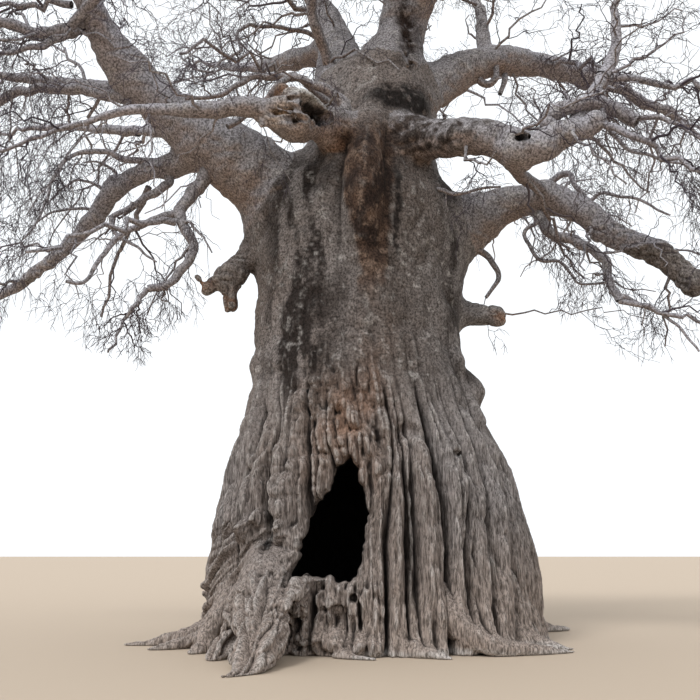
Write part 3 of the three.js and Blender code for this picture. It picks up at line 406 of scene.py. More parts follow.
# Each bough is one tapering limb: what carries it, its start (or the share of its parent), its end, how
# far its middle stands off the straight line, and its radius at root and tip.
BOUGHS = [
    ["bough_left_great", "trunk", [-0.9, 0.1, 8.8], [-5.3, -1.6, 12.0], [0.05, 0, -0.12], [1.2, 0.43]],
    ["bough_left_great_outer", "bough_left_great", 1, [-7.5, -4.5, 14.9], [0.1, -0.1, -0.15], [0.42, 0.14]],
    ["bough_left_level", "bough_left_great", 0.8, [-9.9, -0.7, 12.4], [0, 0.1, 0.5], [0.2, 0.08]],
    ["bough_left_rear", "bough_left_great", 0.66, [-9.6, 3.2, 13.4], [0.1, 0.3, 0.3], [0.18, 0.08]],
    ["bough_left_low", "bough_left_great", 0.58, [-5.9, -0.2, 9.95], [0, 0.05, 0.1], [0.32, 0.22]],
    ["bough_left_low_outer", "bough_left_low", 1, [-9.9, 1.4, 7.6], [0.2, 0, -0.55], [0.22, 0.1]],
    ["bough_left_hook", "bough_left_great", 0.52, [-4.1, -1.3, 7.6], [-0.28, 0, 0.1], [0.18, 0.09]],
    ["bough_torn", "trunk", [0.25, -0.9, 10.55], [-1.6, -2.5, 10.35], [-0.05, -0.15, 0.1], [0.52, 0.36]],
    ["bough_torn_outer", "bough_torn", 1, [-5.6, -3.4, 9.75], [0, -0.2, 0.22], [0.24, 0.07]],
    ["bough_right_front", "trunk", [0.15, -0.9, 10.7], [2.96, -2.8, 9.5], [0.05, -0.2, 0.15], [0.52, 0.33]],
    ["bough_right_front_outer", "bough_right_front", 1, [4.4, -3.2, 9.9], [0, 0, -0.06], [0.32, 0.2]],
    ["bough_right_front_rise", "bough_right_front_outer", 0.3, [5.3, -2.3, 13.2], [0.35, 0, -0.4],
     [0.23, 0.1]],
    ["bough_right_great", "trunk", [0.7, 0.15, 8.35], [3.98, -0.6, 9.5], [0, 0, 0.2], [0.95, 0.33]],
    ["bough_right_great_middle", "bough_right_great", 1, [6.7, -1.5, 7.15], [0.1, 0, 0.12], [0.33, 0.24]],
    ["bough_right_great_outer", "bough_right_great_middle", 1, [10.3, -2.3, 8.9], [0, 0, -0.3], [0.24, 0.11]],
    ["bough_right_hanging", "bough_right_great_middle", 0.12, [5.2, -1.5, 6.85], [-0.3, -0.1, -0.1],
     [0.15, 0.08]],
    ["bough_pillar", "trunk", [0.45, -0.5, 11.6], [0.85, -0.35, 15.2], [0.08, 0, 0], [0.85, 0.45]],
    ["bough_pillar_left", "bough_pillar", 1, [-0.2, -0.6, 18.7], [0.2, 0, 0], [0.42, 0.13]],
    ["bough_pillar_right", "bough_pillar", 0.72, [3.0, -3.0, 17.8], [0.1, 0.2, -0.25], [0.4, 0.12]],
    ["bough_pillar_front", "bough_pillar", 0.86, [-1.3, -5.2, 16.7], [0.1, 0.1, -0.25], [0.3, 0.11]],
    ["bough_top_left", "trunk", [-0.5, 0.25, 11.6], [-2.3, 1.3, 18.0], [0.45, 0, 0], [0.85, 0.15]],
    ["bough_upper_right", "trunk", [0.8, -0.1, 12.1], [6.0, 1.8, 14.15], [-0.2, 0, 0.75], [0.6, 0.27]],
    ["bough_upper_right_outer", "bough_upper_right", 1, [9.4, 3.0, 13.0], [0, 0, 0.25], [0.26, 0.1]],
    ["bough_upper_right_rise", "bough_upper_right", 0.48, [2.6, 1.6, 17.8], [0.1, 0, 0], [0.2, 0.08]],
    ["bough_back_left", "trunk", [-0.6, 0.6, 9.4], [-6.4, 6.0, 15.2], [0.1, 0.1, 0.1], [0.85, 0.14]],
    ["bough_back", "trunk", [0.1, 0.8, 9.9], [-0.7, 8.8, 11.8], [0.4, 0, 0.7], [0.9, 0.14]],
    ["bough_back_right", "trunk", [0.8, 0.7, 9.0], [7.2, 6.6, 12.3], [-0.1, 0.1, 0.55], [0.85, 0.14]],
    ["bough_back_high_left", "bough_top_left", 0.42, [-4.6, 5.2, 16.8], [-0.1, 0, -0.3], [0.36, 0.1]],
    ["bough_back_high_right", "trunk", [-0.1, 0.6, 11.9], [3.8, 5.8, 16.7], [-0.3, 0.2, -0.2], [0.55, 0.1]],
]
TAPER = 1.35
GNARL = 0.07
GNARL_TURNS = [9, 10.8, 8.1]
LIMB_SAMPLES = 40
SEAT_STEP = 0.01
SEAT_MARGIN = 0.03
RIM_POINTS = 12

# Each mass of twigs: its name, what carries its stem, the share of that bough (or a start), the way the
# stem sets out, its length, and how far its tips hang (or rise, below 0).
MASSES = [
    ["twigs_left_great", "bough_left_great_outer", 1, [-0.7, -0.5, 0.5], 3.2, 0.05],
    ["twigs_left_great_under", "bough_left_great_outer", 0.35, [-0.9, 0, 0.1], 2.6, 0.3],
    ["twigs_left_level", "bough_left_level", 1, [-1, 0, 0.1], 3.0, 0.3],
    ["twigs_left_rear", "bough_left_rear", 1, [-0.8, 0.5, 0.2], 3.0, 0.2],
    ["twigs_left_low", "bough_left_low_outer", 1, [-0.9, 0.3, 0], 2.8, 0.35],
    ["twigs_left_low_under", "bough_left_low", 0.6, [-0.5, 0.6, -0.5], 2.9, 0.4],
    ["twigs_hook", "bough_left_hook", 1, [-0.5, -0.1, -0.8], 2.2, 0.3],
    ["twigs_hook_side", "bough_left_hook", 0.5, [-0.8, -0.6, -0.1], 2.9, 0.4],
    ["twigs_torn", "bough_torn_outer", 1, [-0.9, -0.2, -0.3], 2.4, 0.35],
    ["twigs_front_left", "trunk", [-0.5, -0.9, 11.4], [-0.8, -0.5, 0.35], 3.9, 0.3],
    ["twigs_right_front", "bough_right_front_rise", 1, [0.4, -0.4, 0.8], 2.8, 0.05],
    ["twigs_right_front_level", "bough_right_front_rise", 0.6, [0.9, -0.1, -0.1], 3.4, 0.25],
    ["twigs_right_front_low", "bough_right_front_outer", 1, [0.7, -0.4, -0.5], 2.8, 0.3],
    ["twigs_right_hump", "bough_right_front", 0.78, [0.5, 0.4, -0.3], 2.3, 0.25],
    ["twigs_right_great", "bough_right_great_outer", 1, [0.9, -0.2, 0.3], 2.8, 0.15],
    ["twigs_right_hanging", "bough_right_hanging", 1, [0.9, -0.3, -0.25], 2.6, 0.25],
    ["twigs_stump", "trunk", [2.4, 0.0, 6.93], [1, 0, 0.03], 3.2, 0.03],
    ["twigs_pillar_left", "bough_pillar_left", 1, [-0.4, -0.1, 0.9], 1.9, 0.1],
    ["twigs_pillar_right", "bough_pillar_right", 1, [0.6, -0.5, 0.6], 2.8, 0.15],
    ["twigs_pillar_front", "bough_pillar_front", 1, [-0.3, -0.9, 0.1], 3.0, 0.3],
    ["twigs_top_left", "bough_top_left", 1, [-0.6, 0.3, 0.6], 2.4, 0.1],
    ["twigs_top_left_side", "bough_top_left", 0.5, [-0.9, -0.5, 0.4], 3.6, 0.2],
    ["twigs_upper_right", "bough_upper_right_outer", 1, [0.9, 0.3, 0.0], 2.9, 0.3],
    ["twigs_upper_right_under", "bough_upper_right", 0.75, [0.4, -0.6, -0.3], 2.6, 0.3],
    ["twigs_upper_right_rise", "bough_upper_right_rise", 1, [0.5, 0.3, 0.7], 2.2, 0.05],
    ["twigs_back_left", "bough_back_left", 1, [-0.7, 0.7, 0.1], 3.0, 0.3],
    ["twigs_back", "bough_back", 1, [-0.1, 1, 0.1], 3.0, 0.3],
    ["twigs_back_right", "bough_back_right", 1, [0.7, 0.7, 0.1], 3.0, 0.3],
    ["twigs_back_high_left", "bough_back_high_left", 1, [-0.5, 0.6, 0.5], 2.8, 0.1],
    ["twigs_back_high_right", "bough_back_high_right", 1, [0.5, 0.6, 0.5], 2.8, 0.1],
]
STEM_RADIUS_MAX = 0.085
STEM_SHARE_OF_TIP = 0.8
STUMP_SEAT = 0.19
STUMP_TWIG_RADIUS = 0.024
MIDDLE_SHARE = 0.6
TWIGS_PER_LEVEL = [7, 5, 4, 2]
LENGTH_RATIO = [0.64, 0.6, 0.56, 0.52]
STEPS_PER_LEVEL = [12, 10, 8, 6, 4]
STEM_SIDES = 6
TWIG_SIDES = 5
FINE_TWIG_SIDES = 3
RADIUS_RATIO = 0.52
CROOK = 0.11
TWIG_RADIUS_MIN = 0.007
TIP_SHARE = 0.35
GOLDEN_ANGLE = 137.5
LEAN_LOW = 30.0
LEAN_SPAN = 34.0
DROOP_PER_LEVEL = 0.25
FIRST_SIDE_TWIG = 0.16
SIDE_TWIG_SPAN = 0.8
LENGTH_AT_ROOT = 1.15
LENGTH_LOSS = 0.45
LENGTH_SPREAD = 0.4
RADIUS_LOSS = 0.75
WANDER = 0.6
SAG_SHARE = 0.6
SPACE_CLEARANCE = -0.35
SPACE_REACH = 1.15
ID_STEP = 9
SEED_STEP = 0.37

# The crown's lower edge as it is seen from EYE: x and height, at EDGE_DEPTH in y.
EDGE_DEPTH = -1.5
CROWN_EDGE = np.array([
    [-14, 5.8], [-8.0, 5.8], [-7.2, 6.3], [-6.2, 5.8], [-5.2, 5.5], [-4.6, 5.15], [-4.0, 6.0],
    [-2.7, 6.5], [2.3, 5.2], [3.1, 5.9], [4.4, 6.4], [5.2, 5.3], [7.0, 5.5], [14, 5.8],
])

# Where the photo shows open sky or bare bark between the twigs: the middle pixel, the radius in pixels, and
# the share of the twigs across it that is left out.
OPENINGS = [
    [(221, 214), 24, 0.9], [(150, 200), 16, 0.8], [(107, 136), 18, 0.6], [(271, 54), 18, 0.8],
    [(89, 264), 18, 0.7], [(54, 229), 12, 0.6], [(215, 255), 18, 0.85], [(130, 265), 14, 0.6],
    [(505, 262), 24, 0.9], [(535, 290), 20, 0.8], [(452, 26), 15, 0.8], [(495, 90), 14, 0.6],
    [(470, 112), 14, 0.6], [(500, 225), 16, 0.8], [(660, 215), 16, 0.5], [(675, 245), 12, 0.6],
    [(214, 136), 17, 0.85], [(178, 114), 15, 0.85], [(143, 86), 14, 0.8], [(107, 46), 13, 0.7],
    [(235, 165), 18, 0.9], [(178, 171), 12, 0.9], [(143, 178), 12, 0.85], [(111, 200), 12, 0.85],
    [(93, 221), 12, 0.85], [(71, 246), 12, 0.8], [(36, 271), 12, 0.8], [(500, 200), 14, 0.85],
    [(548, 196), 14, 0.85], [(588, 224), 14, 0.85], [(628, 252), 14, 0.85], [(660, 272), 13, 0.8],
    [(460, 136), 15, 0.85], [(512, 152), 15, 0.85], [(480, 55), 13, 0.8], [(525, 52), 11, 0.7],
    [(321, 36), 14, 0.8], [(270, 110), 12, 0.7], [(590, 265), 12, 0.6],
]

# The fields of distances that the bark is drawn from: a fine one for the trunk's lower front, and a
# coarser one for the rest. Their skins overlap by twice SEAM_OVERLAP. The front pieces part in x and z,
# the back ones in z, and faces below UNDERSIDE are the trunk's flat cut. Each field has its own number of
# rounds of smoothing, which tell a hollow from a swelling.
FIELD_BOX = [[-10.1, -6.2, -0.24], [10.4, 9.2, 19.0]]
FRONT_BOX = [[-5.0, -6.0, -0.12], [5.0, 0.12, 6.12]]
VOXEL = 0.04
FRONT_VOXEL = 0.024
SEAM_DEPTH = 0.0
SEAM_HEIGHT = 6.0
SEAM_OVERLAP = 0.02
FRONT_SPLIT = [-0.4, 2.2]
BACK_SPLIT = 2.0
UNDERSIDE = 0.004
FRONT_ROUNDS = 12
ROUNDS = 5
FAR = 0.6

# Limbs thinner than THIN_RADIUS are swept tubes. A limb whose tip is thicker than BLUNT_TIP stays in the
# field to its end, and one whose root is below SLIM_ROOT joins the bark with a crisp seam.
THIN_RADIUS = 0.13
BLUNT_TIP = 0.16
SLIM_ROOT = 0.15
TUBE_OVERLAP = 0.25
TUBE_FROM = 0.86
TUBE_SIDES = 12
TUBE_STEP = 0.06


def chance(seed, index):
    """A repeatable number from 0 to 1 for a seed and an index, or for arrays of them."""
    wave = np.sin(seed * 12.9898 + index * 78.233) * 43758.5453
    return wave - np.floor(wave)


def ease(low, high, value):
    """A smooth 0 to 1 step between two values."""
    share = np.clip((value - low) / (high - low), 0, 1)
    return share * share * (3 - 2 * share)


def bump(offset, half_width):
    """A rounded bump: 1 at offset 0, 0 beyond the half width."""
    share = np.minimum(1, np.abs(offset) / half_width)
    return (1 - share * share) ** 2


def unit(vectors):
    return vectors / np.maximum(np.linalg.norm(vectors, axis=-1, keepdims=True), 1e-9)


def lattice_value(ix, iy, iz, seed):
    """A repeatable number from -1 to 1 for each point of a whole-number lattice."""
    mixed = ix.astype(np.uint32) * np.uint32(73856093)
    mixed = mixed ^ (iy.astype(np.uint32) * np.uint32(19349663))
    mixed = mixed ^ (iz.astype(np.uint32) * np.uint32(83492791))
    mixed = mixed ^ np.uint32(seed * 7919 + 17)
    mixed = (mixed ^ (mixed >> np.uint32(13))) * np.uint32(1274126177)
    mixed = mixed ^ (mixed >> np.uint32(16))
    return (mixed & np.uint32(0xFFFFFF)).astype(np.float32) / 8388607.5 - 1


def noise(points, seed):
    """Smooth noise from -1 to 1 at points, an array that ends in x, y, z."""
    cell = np.floor(points)
    part = (points - cell).astype(np.float32)
    part = part * part * (3 - 2 * part)
    cell = cell.astype(np.int64)
    total = np.zeros(points.shape[:-1], np.float32)
    for corner in range(8):
        step = [corner & 1, (corner >> 1) & 1, (corner >> 2) & 1]
        weight = np.ones_like(total)
        for axis in range(3):
            weight *= part[..., axis] if step[axis] else 1 - part[..., axis]
        total += weight * lattice_value(
            cell[..., 0] + step[0], cell[..., 1] + step[1], cell[..., 2] + step[2], seed
        )
    return total


def layered(points, seed, octaves):
    """Noise in octaves, from about -1 to 1."""
    total = 0
    size = 1.0
    for octave in range(octaves):
        total = total + size * noise(points * 2.0**octave, seed + octave)
        size *= 0.5
    return total / (2 - 2 * size)


def folded(points, seed, sharpness=2.2):
    """Rounded swellings from 0 to 1 with creases between them, narrower where sharpness is higher."""
    return np.minimum(1, np.abs(noise(points, seed)) * sharpness)


def corded(points, seed, sharpness=2.0):
    """Cords from 0 to 1 with a sharp crease between each two."""
    return folded(points, seed, sharpness) ** 0.6


def drift(points, seed):
    """A smooth shift in x, y and z for each point."""
    return np.stack([noise(points, seed + axis) for axis in range(3)], axis=-1)


def read_off(places, along, line):
    """The points of a line at the given places, where along tells the places of the line's own points."""
    return np.stack([np.interp(places, along, column) for column in line.T], axis=-1)


def rounded(line, rounds):
    """A line of points with its bends rounded and its ends left where they are."""
    for _ in range(rounds):
        line[1:-1] = (line[:-2] + 2 * line[1:-1] + line[2:]) / 4
    return line


# The trunk's outline


def profile_at(heights):
    """The trunk's middle in x, half width and half depth at each height."""
    rows = TRUNK_PROFILE
    steps = np.diff(rows[:, 0])
    slopes = np.diff(rows[:, 1:], axis=0) / steps[:, None]
    ends = np.vstack([slopes[:1], (slopes[:-1] + slopes[1:]) / 2, slopes[-1:]])
    heights = np.clip(heights, 0, TRUNK_TOP)
    row = np.clip(np.searchsorted(rows[:, 0], heights, side="right") - 1, 0, len(steps) - 1)
    t = ((heights - rows[row, 0]) / steps[row])[:, None]
    low, high = rows[row, 1:], rows[row + 1, 1:]
    leave, arrive = ends[row] * steps[row][:, None], ends[row + 1] * steps[row][:, None]
    near = (2 * t**3 - 3 * t**2 + 1) * low + (t**3 - 2 * t**2 + t) * leave
    return near + (3 * t**2 - 2 * t**3) * high + (t**3 - t**2) * arrive


def plain_reach(azimuth, half_width, half_depth):
    angle = np.radians(azimuth)
    return half_width * half_depth / np.hypot(half_depth * np.sin(angle), half_width * np.cos(angle))


def fold_lines():
    """Every fold round the foot, in order of azimuth: its azimuth at FOLD_HEIGHTS and its depth."""
    lines = [list(row) for row in FRONT_FOLDS]
    pitch = (BACK_TO - BACK_FROM) / (BACK_FOLDS - 1)
    for i in range(BACK_FOLDS):
        azimuth = BACK_FROM + pitch * (i + 0.5 * (chance(3, i) - 0.5))
        sway = 3 * (chance(5, i) - 0.5)
        lines.append([azimuth, azimuth + sway, azimuth + 2 * sway, 0.16 * (0.5 + chance(4, i))])
    return np.array(lines)


def fluting(azimuth, height, reach):
    """How far the rounded columns stand out between the folds. azimuth and height make a grid."""
    lines = fold_lines()
    out = np.zeros_like(azimuth)
    for row in range(azimuth.shape[0]):
        z = height[row, 0]
        folds = np.array([np.interp(z, FOLD_HEIGHTS, line[:3]) for line in lines])
        order = np.argsort(folds)
        folds, depths = folds[order], lines[order, 3]
        folds = np.append(folds, folds[0] + 360)
        depths = np.append(depths, depths[0])
        around = (azimuth[row] - folds[0]) % 360 + folds[0]
        column = np.clip(np.searchsorted(folds, around, side="right") - 1, 0, len(folds) - 2)
        width = folds[column + 1] - folds[column]
        share = (around - folds[column]) / width
        metres = np.radians(width) * reach[row]
        roundness = np.minimum(FLUTE_ROUNDNESS * metres, FLUTE_MOST)
        roundness = np.where(np.abs(folds[column] - WALL_FROM) < 3, 0.05, roundness)
        profile = np.sqrt(np.clip(4 * share * (1 - share), 0, 1))
        cut = depths[column] * np.maximum(0, 1 - share * width / FOLD_SHARPNESS) ** 2
        cut += depths[column + 1] * np.maximum(0, 1 - (1 - share) * width / FOLD_SHARPNESS) ** 2
        out[row] = roundness * profile - cut
    return out


def strands(azimuth, height, reach):
    """The cords and drapes of STRANDS."""
    out = np.zeros_like(azimuth)
    for path, half_width, proud in STRANDS:
        turns, levels = np.array(path[::-1]).T
        middle = np.interp(height, levels, turns)
        aside = np.radians(azimuth - middle) * reach
        above_foot = ease(levels[0] - 0.05, levels[0] + 0.3, height)
        below_head = 1 - ease(levels[-1] - 0.3, levels[-1], height)
        within = np.abs(aside) < half_width
        out += proud * above_foot * below_head * np.sqrt(bump(aside, half_width)) * within
    return out


def drape_share(azimuth, height):
    """How far a point belongs to the drapes that sweep down to the left foot."""
    return ease(-96, -84, azimuth) * (1 - ease(-36, -28, azimuth)) * (1 - ease(1.4, 2.4, height))


def grain(azimuth, height, across, along, seed):
    """Points for noise on the trunk's skin, so that its marks are across wide and along high."""
    angle = np.radians(azimuth)
    radius = 2.6
    x, y = radius * np.sin(angle) / across, radius * np.cos(angle) / across
    return np.stack([x, y, height / along + 7.3 * seed], axis=-1)


def wall_share(azimuth, height):
    """How far a point of the trunk belongs to the torn wall below the doorway."""
    sideways = ease(WALL_FROM - 5, WALL_FROM + 3, azimuth) * (1 - ease(WALL_TO - 2, WALL_TO + 1, azimuth))
    return sideways * (1 - ease(1.1, 1.5, height))


def with_torn_wall(out, azimuth, height, wall):
    """Adds the fibres, lumps, holes and foot of the torn wall below the doorway."""
    out += wall * 0.09 * (corded(grain(azimuth, height, 0.07, 0.5, 5), 15) - CORD_MIDDLE)
    out += wall * 0.16 * layered(grain(azimuth, height, 0.35, 0.4, 6), 16, 3)
    holes = ease(0.3, 0.5, noise(grain(azimuth, height, 0.12, 0.2, 11), 19))
    out -= wall * 0.15 * holes * ease(0.3, 0.5, height)
    out += wall * 0.14 * bump(height - 0.2, 0.22)
    return out


def trunk_reach(azimuth, height):
    """The distance from the trunk's axis to its bark over a grid of azimuths and heights."""
    _, half_width, half_depth = profile_at(height[:, 0]).T
    plain = plain_reach(azimuth, half_width[:, None], half_depth[:, None])
    calm = 1 - 0.55 * ease(2, 8, azimuth) * (1 - ease(100, 120, azimuth))
    calm = calm * (1 + 0.9 * (1 - ease(-40, -27, azimuth)) * ease(-100, -90, azimuth))
    sway = 0
    for degrees, across, along, turn, seed in SWAY_LAYERS:
        sway = sway + degrees * calm * noise(grain(azimuth, height, across, along, turn), seed)
    slant = 27 * np.maximum(0, 2.3 - height) * ease(-92, -76, azimuth) * (1 - ease(-40, -26, azimuth))
    fade = 1 - (1 - FLUTES_LEFT_ABOVE) * ease(FLUTES_FULL_BELOW, FLUTES_GONE_ABOVE, height)
    wall = wall_share(azimuth, height)
    drape = drape_share(azimuth, height)
    low = 1 - ease(3.2, 6.0, height)
    out = (fluting(azimuth + sway, height, plain) - FLUTE_INSET) * fade * (1 - wall) * (1 - 0.75 * drape)
    out += strands(azimuth + 0.6 * sway, height, plain)
    out += 0.1 * np.maximum(0, 1 - height / 1.1) ** 2
    bent = azimuth + sway + slant
    for deep, least, across, along, turn, seed in CORD_LAYERS:
        cords = corded(grain(bent, height, across, along, turn), seed)
        out += (deep * low + least) * (cords - CORD_MIDDLE)
    for deep, least, across, along, turn, seed in CREASE_LAYERS:
        creases = folded(grain(bent, height, across, along, turn), seed, CREASE_SHARPNESS)
        out += (deep * low + least) * (creases - 1)
    out += 0.08 * layered(grain(azimuth, height, 1.1, 1.6, 4), 14, 2)
    out += 0.06 * ease(3.0, 5.0, height) * (folded(grain(azimuth, height, 0.55, 0.8, 10), 18) - 0.5)
    out = with_torn_wall(out, azimuth, height, wall)
    out += door_lumps(azimuth, height)
    out += hood(azimuth, height)
    pleats = corded(grain(bent, height, 0.42, 6, 15), 25) - CORD_MIDDLE
    out += 0.07 * ease(0.6, 2.0, height) * low * bump(azimuth - 56, 40) * pleats
    ridge = np.sqrt(bump(azimuth - RIDGE_AZIMUTH, RIDGE_HALF_WIDTH))
    ridge_share = ease(RIDGE_FOOT, RIDGE_FULL, height) * (1 - ease(RIDGE_HEAD, RIDGE_END, height))
    return plain + out + RIDGE_BULGE * ridge * ridge_share + burls(azimuth, height)


def door_lumps(azimuth, height):
    """The melted-looking swellings round and above the doorway."""
    near = ease(-46, -34, azimuth) * (1 - ease(6, 14, azimuth)) * bump(height - 3.9, 2.4)
    lumps = folded(grain(azimuth, height, 0.3, 0.42, 7), 21) - 0.5
    small = folded(grain(azimuth, height, 0.13, 0.18, 8), 22) - 0.5
    return near * (0.13 * lumps + 0.05 * small)


def hood(azimuth, height):
    """The rounded head from which the middle columns fan out."""
    head = bump(azimuth - 18, 8.5) * ease(4.0, 3.5, height) * ease(2.0, 3.0, height)
    rim = height - 3.95 + 0.006 * (azimuth - 18) ** 2
    neck = bump(azimuth - 18, 10) * bump(rim, 0.22)
    return 0.2 * head - 0.16 * neck


def burls(azimuth, height):
    out = 0
    for middle, level, half_width, half_height, proud in BURLS:
        turn = (azimuth - middle + 540) % 360 - 180
        out = out + proud * bump(turn, half_width) * bump(height - level, half_height)
    return out


class BarkTable:
    """The trunk's reach, looked up by azimuth and height."""

    def __init__(self):
        self.azimuth_step = 0.2
        self.height_step = 0.02
        self.low = -0.4
        azimuths = np.arange(-180, 180, self.azimuth_step)
        heights = np.arange(self.low, TRUNK_TOP + 0.6, self.height_step)
        azimuth, height = np.meshgrid(azimuths, heights)
        self.reach = trunk_reach(azimuth, np.maximum(height, 0)).astype(np.float32)
        # crease and fold measure the trunk's creases and folds, which are darkened as painted shade.
        self.crease = self.spread(10) - self.reach
        self.fold = self.spread(32) - self.reach

    def spread(self, cells):
        """The reach averaged over a number of cells to each side."""
        wide = np.concatenate([self.reach[:, -cells:], self.reach, self.reach[:, :cells]], axis=1)
        total = np.cumsum(np.pad(wide, ((0, 0), (1, 0))), axis=1, dtype=np.float64)
        width = 2 * cells + 1
        return ((total[:, width:] - total[:, :-width]) / width).astype(np.float32)

    def at(self, azimuth, height, values=None):
        values = self.reach if values is None else values
        u = (azimuth + 180) / self.azimuth_step
        v = np.clip((height - self.low) / self.height_step, 0, values.shape[0] - 1.001)
        left = np.floor(u).astype(np.int64)
        low = np.floor(v).astype(np.int64)
        across, up = u - left, v - low
        columns = values.shape[1]
        near, far = left % columns, (left + 1) % columns
        below = values[low, near] * (1 - across) + values[low, far] * across
        above = values[low + 1, near] * (1 - across) + values[low + 1, far] * across
        return below * (1 - up) + above * up


# Limbs


class Limb:
    """A tapering limb on a curve bowed off the straight line, with a seeded gnarl that is 0 at its ends."""

    def __init__(self, name, start, end, bow, gnarl, girth, seed):
        self.name = name
        self.start = np.array(start, float)
        self.end = np.array(end, float)
        self.bow = np.array(bow, float)
        self.gnarl = gnarl
        self.girth = girth
        self.seed = seed
        self.seat = 0.0
        self.samples = self.point(np.linspace(0, 1, LIMB_SAMPLES + 1))
        self.sample_radii = self.radius(np.linspace(0, 1, LIMB_SAMPLES + 1))
        self.length = np.linalg.norm(np.diff(self.samples, axis=0), axis=1).sum()

    def point(self, t):
        t = np.asarray(t, float)[..., None]
        window = 4 * t * (1 - t)
        phase = 2 * math.pi * np.array([chance(self.seed, axis + 1) for axis in range(3)])
        wave = np.sin(np.array(GNARL_TURNS) * t + phase)
        return self.start + (self.end - self.start) * t + self.bow * window + self.gnarl * window * wave

    def tangent(self, t):
        return unit(self.point(np.minimum(1, t + 1e-4)) - self.point(np.maximum(0, t - 1e-4)))

    def radius(self, t):
        root, tip = self.girth
        return tip + (root - tip) * (1 - np.asarray(t, float)) ** TAPER


def across_of(tangent):
    """The direction across a curve that a section's angle is measured from, for an array of tangents."""
    guide = np.where(np.abs(tangent[..., 2:]) > 0.8, np.array([1.0, 0, 0]), np.array([0, 0, 1.0]))
    return unit(np.cross(tangent, guide))


def leaning(tangent, turn, lean):
    """The ways that lean off each tangent and are turned round it, by two arrays of degrees."""
    across = across_of(tangent)
    other = np.cross(tangent, across)
    turn, lean = np.radians(turn)[:, None], np.radians(lean)[:, None]
    return np.cos(lean) * tangent + np.sin(lean) * (np.cos(turn) * across + np.sin(turn) * other)


def distance_to_limb(points, limb):
    best = np.full(len(points), np.inf)
    for sample, radius in zip(limb.samples, limb.sample_radii):
        best = np.minimum(best, np.linalg.norm(points - sample, axis=1) - radius)
    return best


def around_trunk(points):
    """The azimuth of points round the trunk's middle, and their distance from it."""
    aside = points[:, 0] - profile_at(points[:, 2])[:, 0]
    return np.degrees(np.arctan2(aside, -points[:, 1])), np.hypot(aside, points[:, 1])


def clear_of_trunk(points, margin, table):
    azimuth, distance = around_trunk(points)
    reach = table.at(azimuth, points[:, 2])
    return (distance > reach + margin) | (points[:, 2] > TRUNK_TOP + margin)


def seat_share(limb, carrier, table):
    """The share of a limb's curve at which its whole section is clear of what carries it."""
    turns = np.arange(RIM_POINTS) / RIM_POINTS * 2 * math.pi
    for t in np.arange(SEAT_STEP, 1, SEAT_STEP):
        tangent = limb.tangent(t)
        across = across_of(tangent)
        other = np.cross(tangent, across)
        ring = across * np.sin(turns)[:, None] + other * np.cos(turns)[:, None]
        rim = limb.point(t) + limb.radius(t) * ring
        if carrier is None:
            clear = clear_of_trunk(rim, SEAT_MARGIN, table)
        else:
            clear = distance_to_limb(rim, carrier) > SEAT_MARGIN
        if clear.all():
            return t
    return 0.1


def plant_boughs():
    limbs = {}
    for index, (name, parent, start, end, bow, girth) in enumerate(BOUGHS):
        carrier = limbs.get(parent)
        where = start if carrier is None else carrier.point(start)
        limbs[name] = Limb(name, where, end, bow, GNARL, girth, index + 11)
    return limbs


def seen_at(pixels, depths):
    """The points at the given depths in y that the photo shows at these pixels."""
    pixels = np.array(pixels, float)
    across = (pixels[:, 0] - PICTURE_MIDDLE) / FOCAL
    up = (PICTURE_MIDDLE - pixels[:, 1]) / FOCAL
    tilt = math.radians(EYE_TILT)
    forward = math.cos(tilt) - up * math.sin(tilt)
    rise = math.sin(tilt) + up * math.cos(tilt)
    reach = (depths - EYE[1]) / forward
    return np.stack([EYE[0] + across * reach, depths, EYE[2] + rise * reach], axis=1)


def picture_of(points):
    """The pixels at which the photo shows points."""
    tilt = math.radians(EYE_TILT)
    ahead, above = points[:, 1] - EYE[1], points[:, 2] - EYE[2]
    depth = ahead * math.cos(tilt) + above * math.sin(tilt)
    up = (above * math.cos(tilt) - ahead * math.sin(tilt)) / depth
    across = (points[:, 0] - EYE[0]) / depth
    return np.stack([PICTURE_MIDDLE + FOCAL * across, PICTURE_MIDDLE - FOCAL * up], axis=1)


def nearest_shown(limb, pixel):
    """The point on a limb's middle that the photo shows nearest to a pixel."""
    gaps = np.linalg.norm(picture_of(limb.samples) - np.array(pixel), axis=1)
    return limb.samples[gaps.argmin()]


class CrookedLimb:
    """A tapering limb on a bent line of points, rounded at its bends."""

    def __init__(self, name, corners, girth, seed):
        self.name = name
        self.girth = girth
        self.seed = seed
        steps = np.linalg.norm(np.diff(corners, axis=0), axis=1)
        along = np.concatenate([[0], np.cumsum(steps)])
        count = max(12, int(along[-1] / CROOKED_STEP))
        places = np.linspace(0, along[-1], count)
        line = rounded(read_off(places, along, corners), 10)
        self.line = line + 0.035 * drift(line * 4.1, seed) * np.minimum(1, places / 0.3)[:, None]
        self.samples = self.line
        self.sample_radii = self.radius(np.linspace(0, 1, count))
        self.length = np.linalg.norm(np.diff(self.line, axis=0), axis=1).sum()

    def point(self, t):
        place = np.asarray(t, float) * (len(self.line) - 1)
        return read_off(place, np.arange(len(self.line)), self.line)

    def tangent(self, t):
        return unit(self.point(np.minimum(1, t + 0.02)) - self.point(np.maximum(0, t - 0.02)))

    def radius(self, t):
        root, tip = self.girth
        return root + (tip - root) * np.asarray(t, float) ** 0.8


def plant_crooked(limbs):
    """Puts the crooked limbs on what carries them, at the depth at which the photo shows it."""
    for index, (name, parent, shift, girth, _, pixels) in enumerate(CROOKED_LIMBS):
        steps = np.linalg.norm(np.diff(np.array(pixels, float), axis=0), axis=1)
        share = np.concatenate([[0], np.cumsum(steps)]) / steps.sum()
        if parent == "trunk":
            corners = seen_at(pixels, ROOT_IN_TRUNK[name] + shift * share)
        else:
            root = nearest_shown(limbs[parent], pixels[0])
            corners = np.vstack([root[None, :], seen_at(pixels, root[1] + shift * share)])
        limbs[name] = CrookedLimb(name, corners, girth, index + 131)


